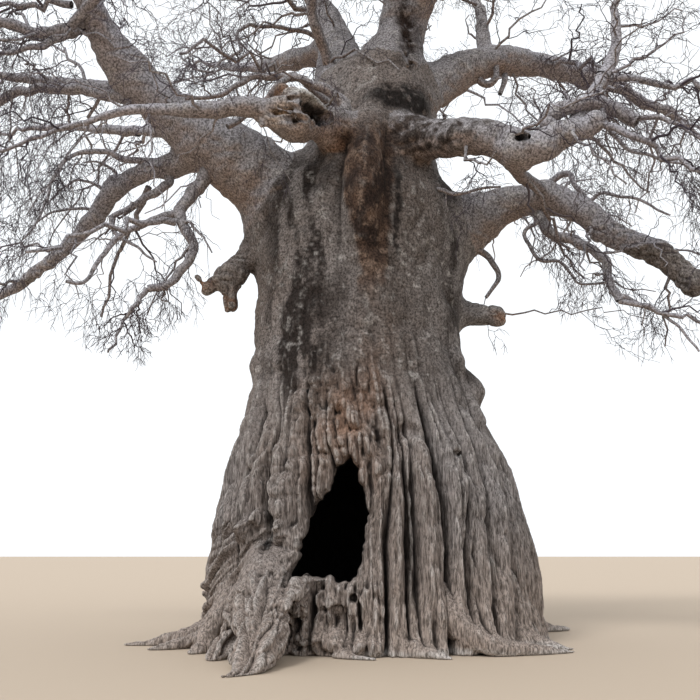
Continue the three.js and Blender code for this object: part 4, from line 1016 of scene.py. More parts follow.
def plant_spurs():
    spurs = []
    for index, row in enumerate(TRUNK_SPURS):
        spurs.append(Limb(f"spur_{index}", row["from"], row["to"], row["bow"], 0.0, row["girth"], index + 61))
    way = unit(np.array(SPLINTER_WAY))
    across = across_of(way)
    other = np.cross(way, across)
    for index in range(SPLINTERS):
        turn = 2 * math.pi * (index + 0.6 * chance(8, index)) / SPLINTERS
        out = math.cos(turn) * across + math.sin(turn) * other
        start = np.array(SPLINTER_MIDDLE) + SPLINTER_RING * out
        length = SPLINTER_LENGTH * (0.35 + 0.65 * chance(9, index))
        end = start + length * (way + (0.9 * chance(10, index) - 0.45) * out)
        spurs.append(Limb(f"splinter_{index}", start, end, 0.06 * out, 0.0, SPLINTER_GIRTH, index + 81))
    return spurs


# The field of distances


class Field:
    """A block of space that holds at each point the distance to the bark, below 0 inside it."""

    def __init__(self, box, voxel):
        self.low = np.array(box[0], float)
        self.voxel = voxel
        self.shape = np.ceil((np.array(box[1]) - self.low) / voxel).astype(int) + 1
        self.values = np.full(self.shape, FAR, np.float32)

    def block(self, low, high):
        """The slices that cover a box, and the coordinates along each axis, ready to broadcast."""
        first = np.clip(np.floor((np.array(low) - self.low) / self.voxel).astype(int), 0, self.shape - 1)
        last = np.clip(np.ceil((np.array(high) - self.low) / self.voxel).astype(int) + 1, 1, self.shape)
        cut = tuple(slice(a, b) for a, b in zip(first, last))
        lines = [self.low[k] + self.voxel * np.arange(first[k], last[k]) for k in range(3)]
        x, y, z = [line.astype(np.float32) for line in lines]
        return cut, (x[:, None, None], y[None, :, None], z[None, None, :])

    def blend_in(self, cut, distance, softness):
        """Joins a shape to the field, with a rounded fillet where they meet."""
        old = self.values[cut]
        overlap = np.maximum(softness - np.abs(old - distance), 0) / softness
        self.values[cut] = np.minimum(old, distance) - overlap * overlap * softness / 4

    def carve(self, cut, distance, softness):
        """Takes a shape out of the field, with a rounded rim."""
        old = self.values[cut]
        hole = -distance
        overlap = np.maximum(softness - np.abs(old - hole), 0) / softness
        self.values[cut] = np.maximum(old, hole) + overlap * overlap * softness / 4


def add_trunk(field, table):
    cut, (x, y, z) = field.block([-5, -5, -1], [5, 5, TRUNK_TOP + 0.5])
    middle = profile_at(z[0, 0].astype(float))[:, 0].astype(np.float32)[None, None, :]
    radius = np.hypot(x - middle, y)
    rows = np.clip((z[0, 0] - table.low) / table.height_step, 0, table.reach.shape[0] - 1).astype(int)
    least = table.reach.min(axis=1)[rows] - FAR
    most = table.reach.max(axis=1)[rows] + FAR
    distance = np.where(radius < least, -FAR, FAR).astype(np.float32)
    near = (radius >= least) & (radius <= most)
    across, ahead, height = np.broadcast_arrays(x - middle, y, z)
    azimuth = np.degrees(np.arctan2(across[near], -ahead[near]))
    distance[near] = (radius[near] - table.at(azimuth, height[near])) * 0.9
    distance = np.maximum(distance, z - TRUNK_TOP)
    field.values[cut] = np.clip(distance, -FAR, FAR)


def capsule_chain(field, points, radii):
    """The distance to a chain of tapering capsules, over the block that it needs."""
    reach = radii.max() + FAR
    cut, (x, y, z) = field.block(points.min(0) - reach, points.max(0) + reach)
    distance = np.full([part.stop - part.start for part in cut], FAR, np.float32)
    for a, b, ra, rb in zip(points[:-1], points[1:], radii[:-1], radii[1:]):
        span = max(ra, rb) + FAR
        near = []
        for axis, line in enumerate((x, y, z)):
            line = line.ravel()
            first = np.searchsorted(line, min(a[axis], b[axis]) - span)
            near.append(slice(first, np.searchsorted(line, max(a[axis], b[axis]) + span)))
        near = tuple(near)
        if any(part.stop <= part.start for part in near):
            continue
        px, py, pz = x[near[0]] - a[0], y[:, near[1]] - a[1], z[:, :, near[2]] - a[2]
        way = (b - a).astype(np.float32)
        share = np.clip((px * way[0] + py * way[1] + pz * way[2]) / max(float(way @ way), 1e-9), 0, 1)
        gap = np.sqrt((px - share * way[0]) ** 2 + (py - share * way[1]) ** 2 + (pz - share * way[2]) ** 2)
        distance[near] = np.minimum(distance[near], gap - (ra + share * (rb - ra)))
    return cut, distance


def thick_end(limb):
    """The share of a limb that the field holds, none of a crooked one. The rest is a swept tube."""
    if isinstance(limb, CrookedLimb):
        return 0.0
    shares = np.linspace(0, 1, 101)
    thick = shares[limb.radius(shares) > THIN_RADIUS]
    end = thick[-1] if len(thick) else 0
    end = min(1, max(end, 0.45 / limb.length))
    return float(min(end, TUBE_FROM) if limb.girth[1] <= BLUNT_TIP else end)


def add_limb(field, limb, end):
    count = max(4, int(limb.length * end / 0.22))
    shares = np.linspace(0, end, count + 1)
    points = limb.point(shares)
    lump = 1 + 0.09 * noise(points * 1.6, limb.seed) + 0.06 * noise(points * 3.7, limb.seed + 1)
    cut, distance = capsule_chain(field, points, limb.radius(shares) * lump)
    slim = limb.girth[0] < SLIM_ROOT
    field.blend_in(cut, distance, 0.4 * limb.girth[0] if slim else 0.16 + 0.45 * limb.girth[0])


def add_root(field, softness, corners):
    """One surface root: a smooth line of swellings through its points."""
    corners = np.array(corners, float)
    places = np.linspace(0, len(corners) - 1, 6 * len(corners))
    line = rounded(read_off(places, np.arange(len(corners)), corners), 6)
    points = line[:, :3] + 0.05 * drift(line[:, :3] * 2.3, 45)
    radii = line[:, 3] * (1 + 0.16 * noise(points * 3.1, 44))
    cut, distance = capsule_chain(field, points, radii)
    field.blend_in(cut, distance, softness)


def polygon_distance(x, z, outline):
    """The signed distance from points to a closed outline in the plane, below 0 inside it."""
    best = np.full(np.broadcast(x, z).shape, np.inf)
    inside = np.zeros(best.shape, bool)
    corners = np.array(outline, float)
    for (ax, az), (bx, bz) in zip(corners, np.roll(corners, -1, axis=0)):
        ex, ez = bx - ax, bz - az
        share = np.clip(((x - ax) * ex + (z - az) * ez) / (ex * ex + ez * ez), 0, 1)
        best = np.minimum(best, np.hypot(x - ax - share * ex, z - az - share * ez))
        crosses = ((az > z) != (bz > z)) & (x < ex * (z - az) / np.where(bz == az, 1e-9, bz - az) + ax)
        inside ^= crosses
    return np.where(inside, -best, best)


def carve_doorway(field):
    cut, (x, y, z) = field.block([-2.6, DOOR_FRONT - 0.3, 0.2], [1.0, DOOR_BACK + 1, 5])
    flat = polygon_distance(x[:, 0, :], z[0, :, :], DOOR_OUTLINE).astype(np.float32)
    where = np.stack(np.broadcast_arrays(x[:, 0, :], 0 * x[:, 0, :], z[0, :, :]), axis=-1)
    for depth, fineness, seed in DOOR_RAGS:
        flat = flat + depth * noise(where * fineness, seed)
    teeth = 1 - ease(*SILL_TEETH_FADE, where[..., 2])
    flat = flat + SILL_TEETH * teeth * noise(where * [9, 1, 2], 34)
    distance = np.maximum(flat[:, None, :], np.maximum(DOOR_FRONT - y, y - DOOR_BACK))
    field.carve(cut, distance, 0.14)


def round_hollow(x, y):
    """The distance from the upright line in the middle of the hollow, with the hollow's stretch taken out."""
    return np.hypot((x - HOLLOW_MIDDLE[0]) / HOLLOW_STRETCH[0], (y - HOLLOW_MIDDLE[1]) / HOLLOW_STRETCH[1])


def carve_hollow(field):
    cut, (x, y, z) = field.block([-2.4, -2.6, 0.8], [1.2, 1.4, 5])
    heights = [row[1] for row in HOLLOW_PROFILE[1:]]
    widths = [row[0] for row in HOLLOW_PROFILE[1:]]
    limit = np.interp(z, heights, widths).astype(np.float32)
    distance = np.maximum(round_hollow(x, y) - limit, np.maximum(heights[0] - z, z - heights[-1])) * 1.1
    field.carve(cut, distance.astype(np.float32), 0.1)


def carve_ball(field, middle, radii, softness):
    """Takes out an egg-shaped hollow with a ragged wall."""
    middle = np.array(middle)
    radii = np.array(radii)
    cut, (x, y, z) = field.block(middle - radii - 0.3, middle + radii + 0.3)
    squares = [((line - centre) / radius) ** 2 for line, centre, radius in zip((x, y, z), middle, radii)]
    distance = np.sqrt(squares[0] + squares[1] + squares[2])
    where = np.stack(np.broadcast_arrays(x, y, z), axis=-1)
    distance = (distance - 1) * radii.min() + 0.06 * noise(where * 6, 41) + 0.04 * noise(where * 13, 42)
    field.carve(cut, distance.astype(np.float32), softness)


def cut_at_ground(field):
    cut, (_, _, z) = field.block([-9, -9, -1], [9, 9, 1])
    field.values[cut] = np.maximum(field.values[cut], -z)


def build_field(table, limbs, spurs, box, voxel):
    field = Field(box, voxel)
    add_trunk(field, table)
    for spur in spurs:
        add_limb(field, spur, 1.0)
    for softness, corners in SURFACE_ROOTS:
        add_root(field, softness, corners)
    for limb in limbs.values():
        end = thick_end(limb)
        if end > 0:
            add_limb(field, limb, end)
    carve_doorway(field)
    carve_hollow(field)
    for middle, radii, softness in HOLLOWS.values():
        carve_ball(field, middle, radii, softness)
    cut_at_ground(field)
    return field


def skin_of(field):
    """The points and four-sided faces of the bark."""
    grid = openvdb.FloatGrid(FAR)
    grid.copyFromArray(np.clip(field.values, -FAR, FAR))
    points, quads = grid.convertToQuads(isovalue=0.0)
    return points.astype(np.float64) * field.voxel + field.low, quads.astype(np.int64)


# Meshes from arrays


def vertex_normals(points, faces):
    last = faces.shape[1] - 1
    corners = [points[faces[:, k]] for k in range(last + 1)]
    face_normals = np.cross(corners[2] - corners[0], corners[last] - corners[1])
    normals = np.zeros_like(points)
    for k in range(last + 1):
        for axis in range(3):
            normals[:, axis] += np.bincount(faces[:, k], face_normals[:, axis], len(points))
    return unit(normals)


def smoothed(points, faces, rounds):
    """Each point moved to the middle of its neighbours, a number of times."""
    pairs = np.vstack([faces[:, [k, (k + 1) % 4]] for k in range(4)])
    pairs = np.vstack([pairs, pairs[:, ::-1]])
    count = np.maximum(np.bincount(pairs[:, 0], minlength=len(points)), 1)
    result = points
    for _ in range(rounds):
        sums = [np.bincount(pairs[:, 0], result[pairs[:, 1], axis], len(points)) for axis in range(3)]
        result = np.stack([total / count for total in sums], axis=1)
    return result


def mesh_object(name, points, faces, material, normals=None, tints=None):
    """A smooth-shaded mesh whose faces all have the same number of corners."""
    mesh = bpy.data.meshes.new(name)
    corners = faces.shape[1]
    mesh.vertices.add(len(points))
    mesh.vertices.foreach_set("co", points.astype(np.float32).ravel())
    mesh.loops.add(faces.size)
    mesh.loops.foreach_set("vertex_index", faces.astype(np.int32).ravel())
    mesh.polygons.add(len(faces))
    mesh.polygons.foreach_set("loop_start", np.arange(0, faces.size, corners, dtype=np.int32))
    mesh.polygons.foreach_set("use_smooth", np.ones(len(faces), bool))
    mesh.update(calc_edges=True)
    if tints is not None:
        layer = mesh.color_attributes.new("tint", "FLOAT_COLOR", "POINT")
        layer.data.foreach_set("color", tints.astype(np.float32).ravel())
    if normals is not None:
        mesh.normals_split_custom_set_from_vertices(normals.astype(np.float32))
    mesh.materials.append(material)
    piece = bpy.data.objects.new(name, mesh)
    bpy.context.scene.collection.objects.link(piece)
    return piece


def part_of_mesh(points, faces, chosen):
    """The chosen faces with only the points that they use, and which points those are."""
    kept = faces[chosen]
    used = np.unique(kept)
    renumber = np.full(len(points), -1)
    renumber[used] = np.arange(len(used))
    return points[used], renumber[kept], used


def joined(shapes):
    points, faces, offset = [], [], 0
    for own, own_faces in shapes:
        points.append(own)
        faces.append(own_faces + offset)
        offset += len(own)
    return np.vstack(points), np.vstack(faces)


# Colour


def srgb(red, green, blue):
    """A colour as the eye reads it, 0 to 255, as light."""
    value = np.array([red, green, blue]) / 255
    return np.where(value <= 0.04045, value / 12.92, ((value + 0.055) / 1.055) ** 2.4)


GREY = srgb(125, 121, 120)
BROWN = srgb(112, 101, 94)
PALE = srgb(160, 157, 162)
# Painted bounce light: the warm tone of light from the ground on bark that faces down.
BOUNCE_WARM = srgb(142, 116, 97)
DARK = srgb(58, 50, 46)
# Pale lichen; the same colour is also a painted highlight on the convex ribs.
LICHEN_AND_HIGHLIGHT = srgb(178, 173, 168)
# The brown of the saddle below the front boughs, put only on faces turned down as painted bounce light.
SADDLE_BOUNCE_BROWN = srgb(128, 92, 66)
RIDGE_BROWN = srgb(82, 64, 53)
RIDGE_FLECK = srgb(122, 102, 88)
DEEP_BROWN = srgb(44, 33, 28)
ORANGE = srgb(140, 104, 80)
TAN = srgb(172, 146, 120)
PLANK = srgb(172, 168, 162)
DUST = srgb(142, 128, 118)
# Painted shade: the black of hollows where no light comes.
HOLLOW_SHADE_BLACK = srgb(11, 10, 10)

# Marks of colour round a place: the middle, the reach in x, y and z, and the share of it over which they
# fade.
MARKS = {
    "saddle below the front boughs": [[-0.15, -2.2, 10.1], [1.5, 1.2, 1], 0.8],
    "dark crust on the right front bough": [[1.6, -2.3, 10.5], [2.9, 1.8, 1.4], 1],
    "torn wood": [[-1.72, -2.6, 10.32], [1.1, 1, 0.8], 0.6],
    "brown plate": [[-1.86, -2.52, 11.0], [0.6, 1, 0.6], 1],
    "grey plank": [[-1.2, -2.75, 10.78], [2.2, 1.4, 0.6], 0.35],
    "char below the pillar": [[0.69, -1.34, 11.48], [1.33, 1.25, 0.59], 1],
}

# The bark's fine mottling and the fibres that it turns into low on the trunk: how fine, and the stretch
# up and down. The heights between which the fibres fade, and what the marks do to the colour and the relief.
MOTTLE = [24, 0.85]
FIBRES = [34, 0.13]
FIBRES_FADE = [2.8, 6.0]
MOTTLE_RAMP = [[0.4, (0.26, 0.25, 0.24, 1)], [0.6, (1.65, 1.67, 1.7, 1)]]
MOTTLE_SHARE = 0.9
BUMP_STRENGTH = 0.85
BUMP_DISTANCE = 0.035


def mixed(colour, other, share):
    share = np.clip(share, 0, 1)[:, None]
    return colour * (1 - share) + other * share


def mark(points, name):
    middle, reach, fade = MARKS[name]
    return bump(np.linalg.norm((points - middle) / reach, axis=1), fade)


def azimuth_of(points):
    """The azimuth of points round the upright axis through the origin, 0 at the front."""
    return np.degrees(np.arctan2(points[:, 0], -points[:, 1]))


def bark_tints(points, normals, hollow, fold, bough):
    """The bark's colour at each point: pale grey boughs, a browner trunk, a dusty foot, warm painted bounce
    light on the undersides, and painted shade in the hollows, creases and folds.
    """
    broad = layered(points * [0.5, 0.5, 0.28], 51, 3)
    patch = layered(points * [1.6, 1.6, 0.8], 54, 3)
    speck = layered(points * 9.0, 57, 2)
    colour = np.repeat(GREY[None, :], len(points), axis=0)
    # Painted bounce light on the faces turned down.
    colour = mixed(colour, BROWN, (0.5 + 0.9 * broad) * (1 - 0.7 * bough))
    colour = weathered(colour, points, bough, broad, patch, speck)
    colour = painted_bounce_below(colour, points, normals, bough, patch)
    crust = mark(points, "dark crust on the right front bough")
    colour = mixed(colour, DARK, 1.5 * crust * ease(-0.5, 0.5, speck + 0.7 * patch))
    colour = mixed(colour, ridge_tint(points, speck), ridge_mask(points))
    colour = mixed(colour, ORANGE, door_glow(points, patch))
    colour = torn_tint(colour, points, patch)
    colour = charred(colour, points, patch, speck)
    colour = creased(colour, points, hollow, fold, patch)
    # Painted shade: black well inside the hollow, where no light comes.
    return mixed(colour, HOLLOW_SHADE_BLACK, inside_share(points))


def weathered(colour, points, bough, broad, patch, speck):
    """Paler outer boughs, a browner upper trunk with dark bands of lichen down it, and dust at the foot."""
    z = points[:, 2]
    away = np.hypot(points[:, 0], points[:, 1])
    outer = bough * (0.35 + 0.65 * ease(2.5, 6.0, away))
    colour = mixed(colour, PALE, outer * (0.85 + 0.4 * patch))
    high = ease(3.6, 5.6, z)
    azimuth = azimuth_of(points)
    upper = (1 - bough) * high * (1 - ease(9.0, 11.0, z))
    colour = mixed(colour, BROWN * 0.55, 0.9 * upper * bump(azimuth - 12, 60))
    colour = mixed(colour, DARK, 0.5 * (1 - 0.6 * outer) * high * ease(0.1, 0.7, patch + 0.7 * speck))
    drip = noise(points * [2.4, 2.4, 0.5], 68) + 0.7 * noise(points * [6, 6, 1.5], 69) + 0.5 * speck
    bands = bump(azimuth + 40, 36) + 0.7 * bump(azimuth - 62, 24) + 0.6 * (np.abs(azimuth) > 90)
    colour = mixed(colour, DARK * 0.6, 1.25 * upper * bands * ease(-0.45, 0.35, drip))
    colour = mixed(colour, LICHEN_AND_HIGHLIGHT, (0.15 + 0.25 * high) * ease(0.2, 0.6, speck - 0.4 * patch))
    return mixed(colour, DUST, 0.85 * (1 - ease(0.1, 2.6, z + 0.5 * broad)))


def painted_bounce_below(colour, points, normals, bough, patch):
    """Painted bounce light: warm light from the ground painted on the bark that faces down, warmest where the
    two front boughs meet above the ridge.
    """
    away = np.hypot(points[:, 0], points[:, 1])
    under = ease(0.0, 0.7, -normals[:, 2]) * np.maximum(bough, ease(8.5, 9.5, points[:, 2]))
    warmth = 0.62 - 0.3 * ease(3.0, 5.5, away)
    colour = mixed(colour, BOUNCE_WARM, warmth * under * (0.8 + 0.5 * patch))
    saddle = mark(points, "saddle below the front boughs")
    facing = ease(-0.2, 0.4, -normals[:, 2])
    return mixed(colour, SADDLE_BOUNCE_BROWN, 1.4 * saddle * facing * (0.7 + 0.8 * patch))


def creased(colour, points, hollow, fold, patch):
    """Painted shade: black hollows and dark creases and folds. A painted highlight on the pale ribs, and a
    pale edge where the foot meets the ground.
    """
    # Painted shade: the insides of the dark hollows are painted black.
    for middle, radii, _ in [HOLLOWS[name] for name in DARK_HOLLOWS]:
        deep = np.linalg.norm((points - middle) / (np.array(radii) * 1.12), axis=1)
        colour = mixed(colour, HOLLOW_SHADE_BLACK, 0.9 * (1 - ease(0.86, 1.0, deep)))
    # Painted shade: the creases and the folds between the columns are darkened where shade falls.
    colour = mixed(colour, DARK * 0.45, 0.9 * ease(0.0, 0.045, hollow))
    colour = mixed(colour, DARK * 0.45, 0.85 * ease(0.015, 0.17, fold))
    # Painted highlight: the convex ribs are made paler, as if they caught more light.
    colour = mixed(colour, LICHEN_AND_HIGHLIGHT, 0.4 * ease(0.003, 0.035, -hollow))
    edge = 1 - ease(0.04, 0.16, points[:, 2] + 0.1 * patch)
    return mixed(colour, LICHEN_AND_HIGHLIGHT, 0.6 * edge * (points[:, 0] > -0.4))


def torn_tint(colour, points, patch):
    """Bare wood: the torn end, tan with a grey plank along its top and a brown plate, and the broken tips."""
    torn = mark(points, "torn wood")
    fibres = noise(points * [3, 15, 13] + patch[:, None], 65)
    colour = mixed(colour, TAN, 1.5 * torn * ease(-0.5, 0.3, fibres))
    colour = mixed(colour, DEEP_BROWN, 1.2 * torn * ease(-0.1, -0.45, fibres))
    colour = mixed(colour, ORANGE * 0.5, 1.5 * mark(points, "brown plate"))
    for middle in BROKEN_TIPS:
        tip = bump(np.linalg.norm(points - middle, axis=1), 0.5)
        colour = mixed(colour, ORANGE, 1.1 * tip * ease(-0.5, 0.5, fibres))
    return mixed(colour, PLANK, 1.6 * mark(points, "grey plank"))


def charred(colour, points, patch, speck):
    """The dark groove down the pillar, the char below it, and the black streak beside the ridge."""
    x, y, z = points.T
    groove = bump((x - 0.93) / 0.42 + 0.5 * noise(points * [3, 3, 2], 66), 1)
    groove = groove * bump(z - 13.7, 1.7) * (y < -0.4)
    colour = mixed(colour, DEEP_BROWN, 1.1 * groove * ease(-0.6, 0.2, speck + patch))
    char = mark(points, "char below the pillar")
    colour = mixed(colour, DARK * 0.35, 1.7 * char * ease(-0.8, 0.1, patch + speck))
    streak = bump(azimuth_of(points) - 15.5 + 2 * noise(points * 3, 67), 3.6)
    streak = streak * ease(7.1, 7.9, z) * (1 - ease(9.3, 9.9, z))
    return mixed(colour, DARK * 0.35, 1.4 * streak * ease(-0.7, 0.0, speck + patch))


def ridge_mask(points):
    _, y, z = points.T
    half_width = np.interp(z, [3.4, 6.0, 7.5, 9.0, 10.2, 11.0], [3.0, 5.0, 8.5, 13.0, 17.0, 22.0])
    wobble = 3 * noise(points * [2, 2, 0.8], 61) + 2.5 * noise(points * 5, 64)
    side = 1 - ease(0.7, 1.15, np.abs(azimuth_of(points) - RIDGE_AZIMUTH + wobble) / half_width)
    return side * (0.2 * ease(4.0, 5.0, z) + 0.8 * ease(6.3, 7.5, z)) * (1 - ease(10.0, 11.0, z)) * (y < 0)


def ridge_tint(points, speck):
    blotch = layered(points * [5, 5, 3], 62, 3)
    base = np.repeat(RIDGE_BROWN[None, :], len(points), axis=0)
    base = mixed(base, DEEP_BROWN, 0.6 + 1.1 * blotch + 0.4 * speck)
    return mixed(base, RIDGE_FLECK, 0.6 * ease(0.15, 0.5, speck - blotch))


def door_glow(points, patch):
    x, y, z = points.T
    near = bump(x + 0.45, 1.3) * bump(z - 3.95, 1.4) * (y < -1.0)
    streak = bump(x - 0.05, 0.6) * bump(z - 5.4, 1.6) * (y < -1.0)
    return (0.6 * near + 0.25 * streak) * ease(-0.4, 0.5, patch)


def inside_share(points):
    """1 well inside the hollow, where no light comes."""
    x, y, z = points.T
    room = (round_hollow(x, y) < 1.25) & (z > 0.95) & (z < 4.8)
    return room * ease(-2.3, -2.0, y)


def add_node(nodes, kind, **settings):
    node = nodes.new(kind)
    for name, value in settings.items():
        setattr(node, name, value)
    return node


def mottling(nodes, links, vector, scale, stretch):
    """Fine noise whose marks are longer up and down where stretch is below 1."""
    place = add_node(nodes, "ShaderNodeMapping")
    place.inputs["Scale"].default_value = (1, 1, stretch)
    links.new(vector, place.inputs["Vector"])
    fine = add_node(nodes, "ShaderNodeTexNoise")
    fine.inputs["Scale"].default_value = scale
    fine.inputs["Detail"].default_value = 8
    fine.inputs["Roughness"].default_value = 0.72
    links.new(place.outputs["Vector"], fine.inputs["Vector"])
    return fine.outputs["Fac"]


def fibres_below(nodes, links, where, mottle):
    """The mottling, with long fibres in its place low down."""
    fibres = mottling(nodes, links, where, *FIBRES)
    parts = add_node(nodes, "ShaderNodeSeparateXYZ")
    links.new(where, parts.inputs["Vector"])
    level = add_node(nodes, "ShaderNodeMapRange")
    level.inputs["From Min"].default_value = FIBRES_FADE[0]
    level.inputs["From Max"].default_value = FIBRES_FADE[1]
    links.new(parts.outputs["Z"], level.inputs["Value"])
    change = add_node(nodes, "ShaderNodeMix", data_type="FLOAT")
    links.new(level.outputs["Result"], change.inputs["Factor"])
    links.new(fibres, change.inputs["A"])
    links.new(mottle, change.inputs["B"])
    return change.outputs["Result"]


def bark_material(name, fibrous):
    """Bark that takes its broad colour from the mesh. Its fine mottling turns fibrous low on the trunk."""
    material = bpy.data.materials.new(name)
    material.use_nodes = True
    nodes, links = material.node_tree.nodes, material.node_tree.links
    shader = nodes["Principled BSDF"]
    shader.inputs["Roughness"].default_value = 0.93
    shader.inputs["Specular IOR Level"].default_value = 0.2
    tint = add_node(nodes, "ShaderNodeAttribute", attribute_name="tint")
    where = add_node(nodes, "ShaderNodeTexCoord").outputs["Object"]
    mottle = mottling(nodes, links, where, *MOTTLE)
    if fibrous:
        mottle = fibres_below(nodes, links, where, mottle)
    ramp = add_node(nodes, "ShaderNodeValToRGB")
    for element, (position, colour) in zip(ramp.color_ramp.elements, MOTTLE_RAMP):
        element.position = position
        element.color = colour
    links.new(mottle, ramp.inputs["Fac"])
    blend = add_node(nodes, "ShaderNodeMix", data_type="RGBA", blend_type="MULTIPLY")
    blend.inputs["Factor"].default_value = MOTTLE_SHARE
    links.new(tint.outputs["Color"], blend.inputs["A"])
    links.new(ramp.outputs["Color"], blend.inputs["B"])
    links.new(blend.outputs["Result"], shader.inputs["Base Color"])
    raised = add_node(nodes, "ShaderNodeBump")
    raised.inputs["Strength"].default_value = BUMP_STRENGTH
    raised.inputs["Distance"].default_value = BUMP_DISTANCE
    links.new(mottle, raised.inputs["Height"])
    links.new(raised.outputs["Normal"], shader.inputs["Normal"])
    return material


def plain_material(name, colour, roughness=0.9):
    material = bpy.data.materials.new(name)
    material.use_nodes = True
    shader = material.node_tree.nodes["Principled BSDF"]
    shader.inputs["Base Color"].default_value = (*colour, 1)
    shader.inputs["Roughness"].default_value = roughness
    shader.inputs["Specular IOR Level"].default_value = 0.2
    return material


# The bark as pieces


# The pieces of bark on the boughs, each with the words that its boughs' names begin with.
BARK_GROUPS = {
    "bark_boughs_left": ("bough_left", "bough_torn"),
    "bark_boughs_right": ("bough_right",),
    "bark_boughs_top": ("bough_pillar", "bough_top", "bough_upper"),
    "bark_boughs_back": ("bough_back",),
}

# Below BOUGHS_FROM all bark is the trunk's. Above it a bough's bark begins where the bough's own surface is
# nearer than the trunk's by TRUNK_CLAIM.
BOUGHS_FROM = 8.0
TRUNK_CLAIM = 0.12


def boughs_of(group):
    return [row[0] for row in BOUGHS if row[0].startswith(BARK_GROUPS[group])]


# The way that the front foot runs.
FOOT_WAY = np.array([-0.08, -0.9, -0.43])


def roughened(points, normals):
    """Adds the finer relief of the bark: cords low down, pores and wrinkles above."""
    z = points[:, 2]
    low = 1 - ease(3.5, 6.0, z)
    cords = folded(points * [9, 9, 1.6], 71) - 0.4
    fibres = noise(points * [18, 18, 3.0], 72)
    pores = layered(points * 8, 73, 2)
    lumps = layered(points * 2.6, 76, 2)
    wrinkles = corded(points * 3.6, 78) - 0.7
    high = ease(8.0, 10.0, z)
    out = low * (0.018 * cords + 0.012 * fibres) + 0.014 * pores + 0.03 * (1 - low) * lumps
    out += high * (0.025 * lumps + 0.03 * wrinkles)
    stump = np.maximum(ease(-2.3, -2.9, points[:, 0]), ease(2.1, 2.6, points[:, 0])) * (z > 6.3) * (z < 8.6)
    out += stump * (0.07 * (corded(points * [5, 7, 7], 79) - 0.7) + 0.02 * lumps)
    along = points @ FOOT_WAY
    drawn = points - 0.88 * along[:, None] * FOOT_WAY + 0.05 * noise(points * 3, 77)[:, None]
    foot = ease(-2.5, -2.9, points[:, 1]) * ease(-3.4, -3.0, points[:, 0]) * ease(-1.0, -1.3, points[:, 0])
    net = 0.17 * (corded(drawn * 5, 74) - 0.7) + 0.09 * (corded(drawn * 11, 75) - 0.7)
    out += foot * net * (z < 1.4)
    out *= ease(0.0, 0.08, z)
    return points + normals * out[:, None]


def nearest_group(points, limbs, table):
    """For each point the index of the group of boughs that it belongs to, or -1 on the trunk."""
    azimuth, distance = around_trunk(points)
    best = distance - table.at(azimuth, points[:, 2]) - TRUNK_CLAIM
    best[points[:, 2] > TRUNK_TOP] = 1.0 - TRUNK_CLAIM
    best[points[:, 2] < BOUGHS_FROM] = -np.inf
    owner = np.full(len(points), -1)
    for index, group in enumerate(BARK_GROUPS):
        for name in boughs_of(group):
            limb = limbs[name]
            box_low, box_high = limb.samples.min(0) - 1.4, limb.samples.max(0) + 1.4
            near = np.nonzero(((points > box_low) & (points < box_high)).all(1))[0]
            distance = distance_to_limb(points[near], limb)
            closer = distance < best[near]
            best[near[closer]] = distance[closer]
            owner[near[closer]] = index
    return owner


def finished_skin(field, rounds, table, limbs):
    """A field's bark with its relief: points, faces, normals, colours, and each face's group of boughs."""
    points, faces = skin_of(field)
    points = roughened(points, vertex_normals(points, faces))
    normals = vertex_normals(points, faces)
    # hollow and fold measure how deep a point lies in a crease or fold; bark_tints darkens them as painted
    # shade.
    hollow = ((smoothed(points, faces, rounds) - points) * normals).sum(1)
    group = nearest_group(points, limbs, table)
    azimuth, distance = around_trunk(points)
    beyond = distance - table.at(azimuth, points[:, 2])
    on_trunk = (group < 0) * (1 - ease(0.12, 0.3, np.abs(beyond)))
    hollow = hollow + on_trunk * 0.35 * np.maximum(0, table.at(azimuth, points[:, 2], table.crease))
    fold = on_trunk * table.at(azimuth, points[:, 2], table.fold)
    tints = np.ones((len(points), 4))
    tints[:, :3] = bark_tints(points, normals, hollow, fold, (group >= 0) * 1.0)
    return points, faces, normals, tints, group[faces].max(axis=1)


def front_pieces(middle):
    """Which faces of the fine field each front piece of the trunk holds."""
    x, y, z = middle.T
    own = (y < SEAM_DEPTH + SEAM_OVERLAP) & (z < SEAM_HEIGHT + SEAM_OVERLAP) & (z > UNDERSIDE)
    low, left = z < FRONT_SPLIT[1], x < FRONT_SPLIT[0]
    return {
        "bark_trunk_front_low_left": own & low & left,
        "bark_trunk_front_low_right": own & low & ~left,
        "bark_trunk_front_high_left": own & ~low & left,
        "bark_trunk_front_high_right": own & ~low & ~left,
    }


def other_pieces(middle, owner):
    """Which faces of the coarse field each other piece of bark holds."""
    _, y, z = middle.T
    own = (y > SEAM_DEPTH - SEAM_OVERLAP) | (z > SEAM_HEIGHT - SEAM_OVERLAP) | (z < UNDERSIDE)
    pieces = {
        "bark_trunk_back_low": own & (owner < 0) & (z < BACK_SPLIT),
        "bark_trunk_back_high": own & (owner < 0) & (z >= BACK_SPLIT) & (z < SEAM_HEIGHT),
        "bark_trunk_upper": own & (owner < 0) & (z >= SEAM_HEIGHT),
    }
    for index, name in enumerate(BARK_GROUPS):
        pieces[name] = owner == index
    return pieces


def build_bark(front, rest, table, limbs, materials):
    for field, rounds in ((front, FRONT_ROUNDS), (rest, ROUNDS)):
        points, faces, normals, tints, owner = finished_skin(field, rounds, table, limbs)
        middle = points[faces].mean(axis=1)
        pieces = front_pieces(middle) if field is front else other_pieces(middle, owner)
        for name, chosen in pieces.items():
            on_trunk = name.startswith("bark_trunk")
            own, own_faces, used = part_of_mesh(points, faces, chosen)
            material = materials["trunk" if on_trunk else "bough"]
            piece = mesh_object(name, own, own_faces, material, normals[used], tints[used])
            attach(piece, "root")
            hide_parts(*(["trunk"] if on_trunk else boughs_of(name)))


# Swept tubes


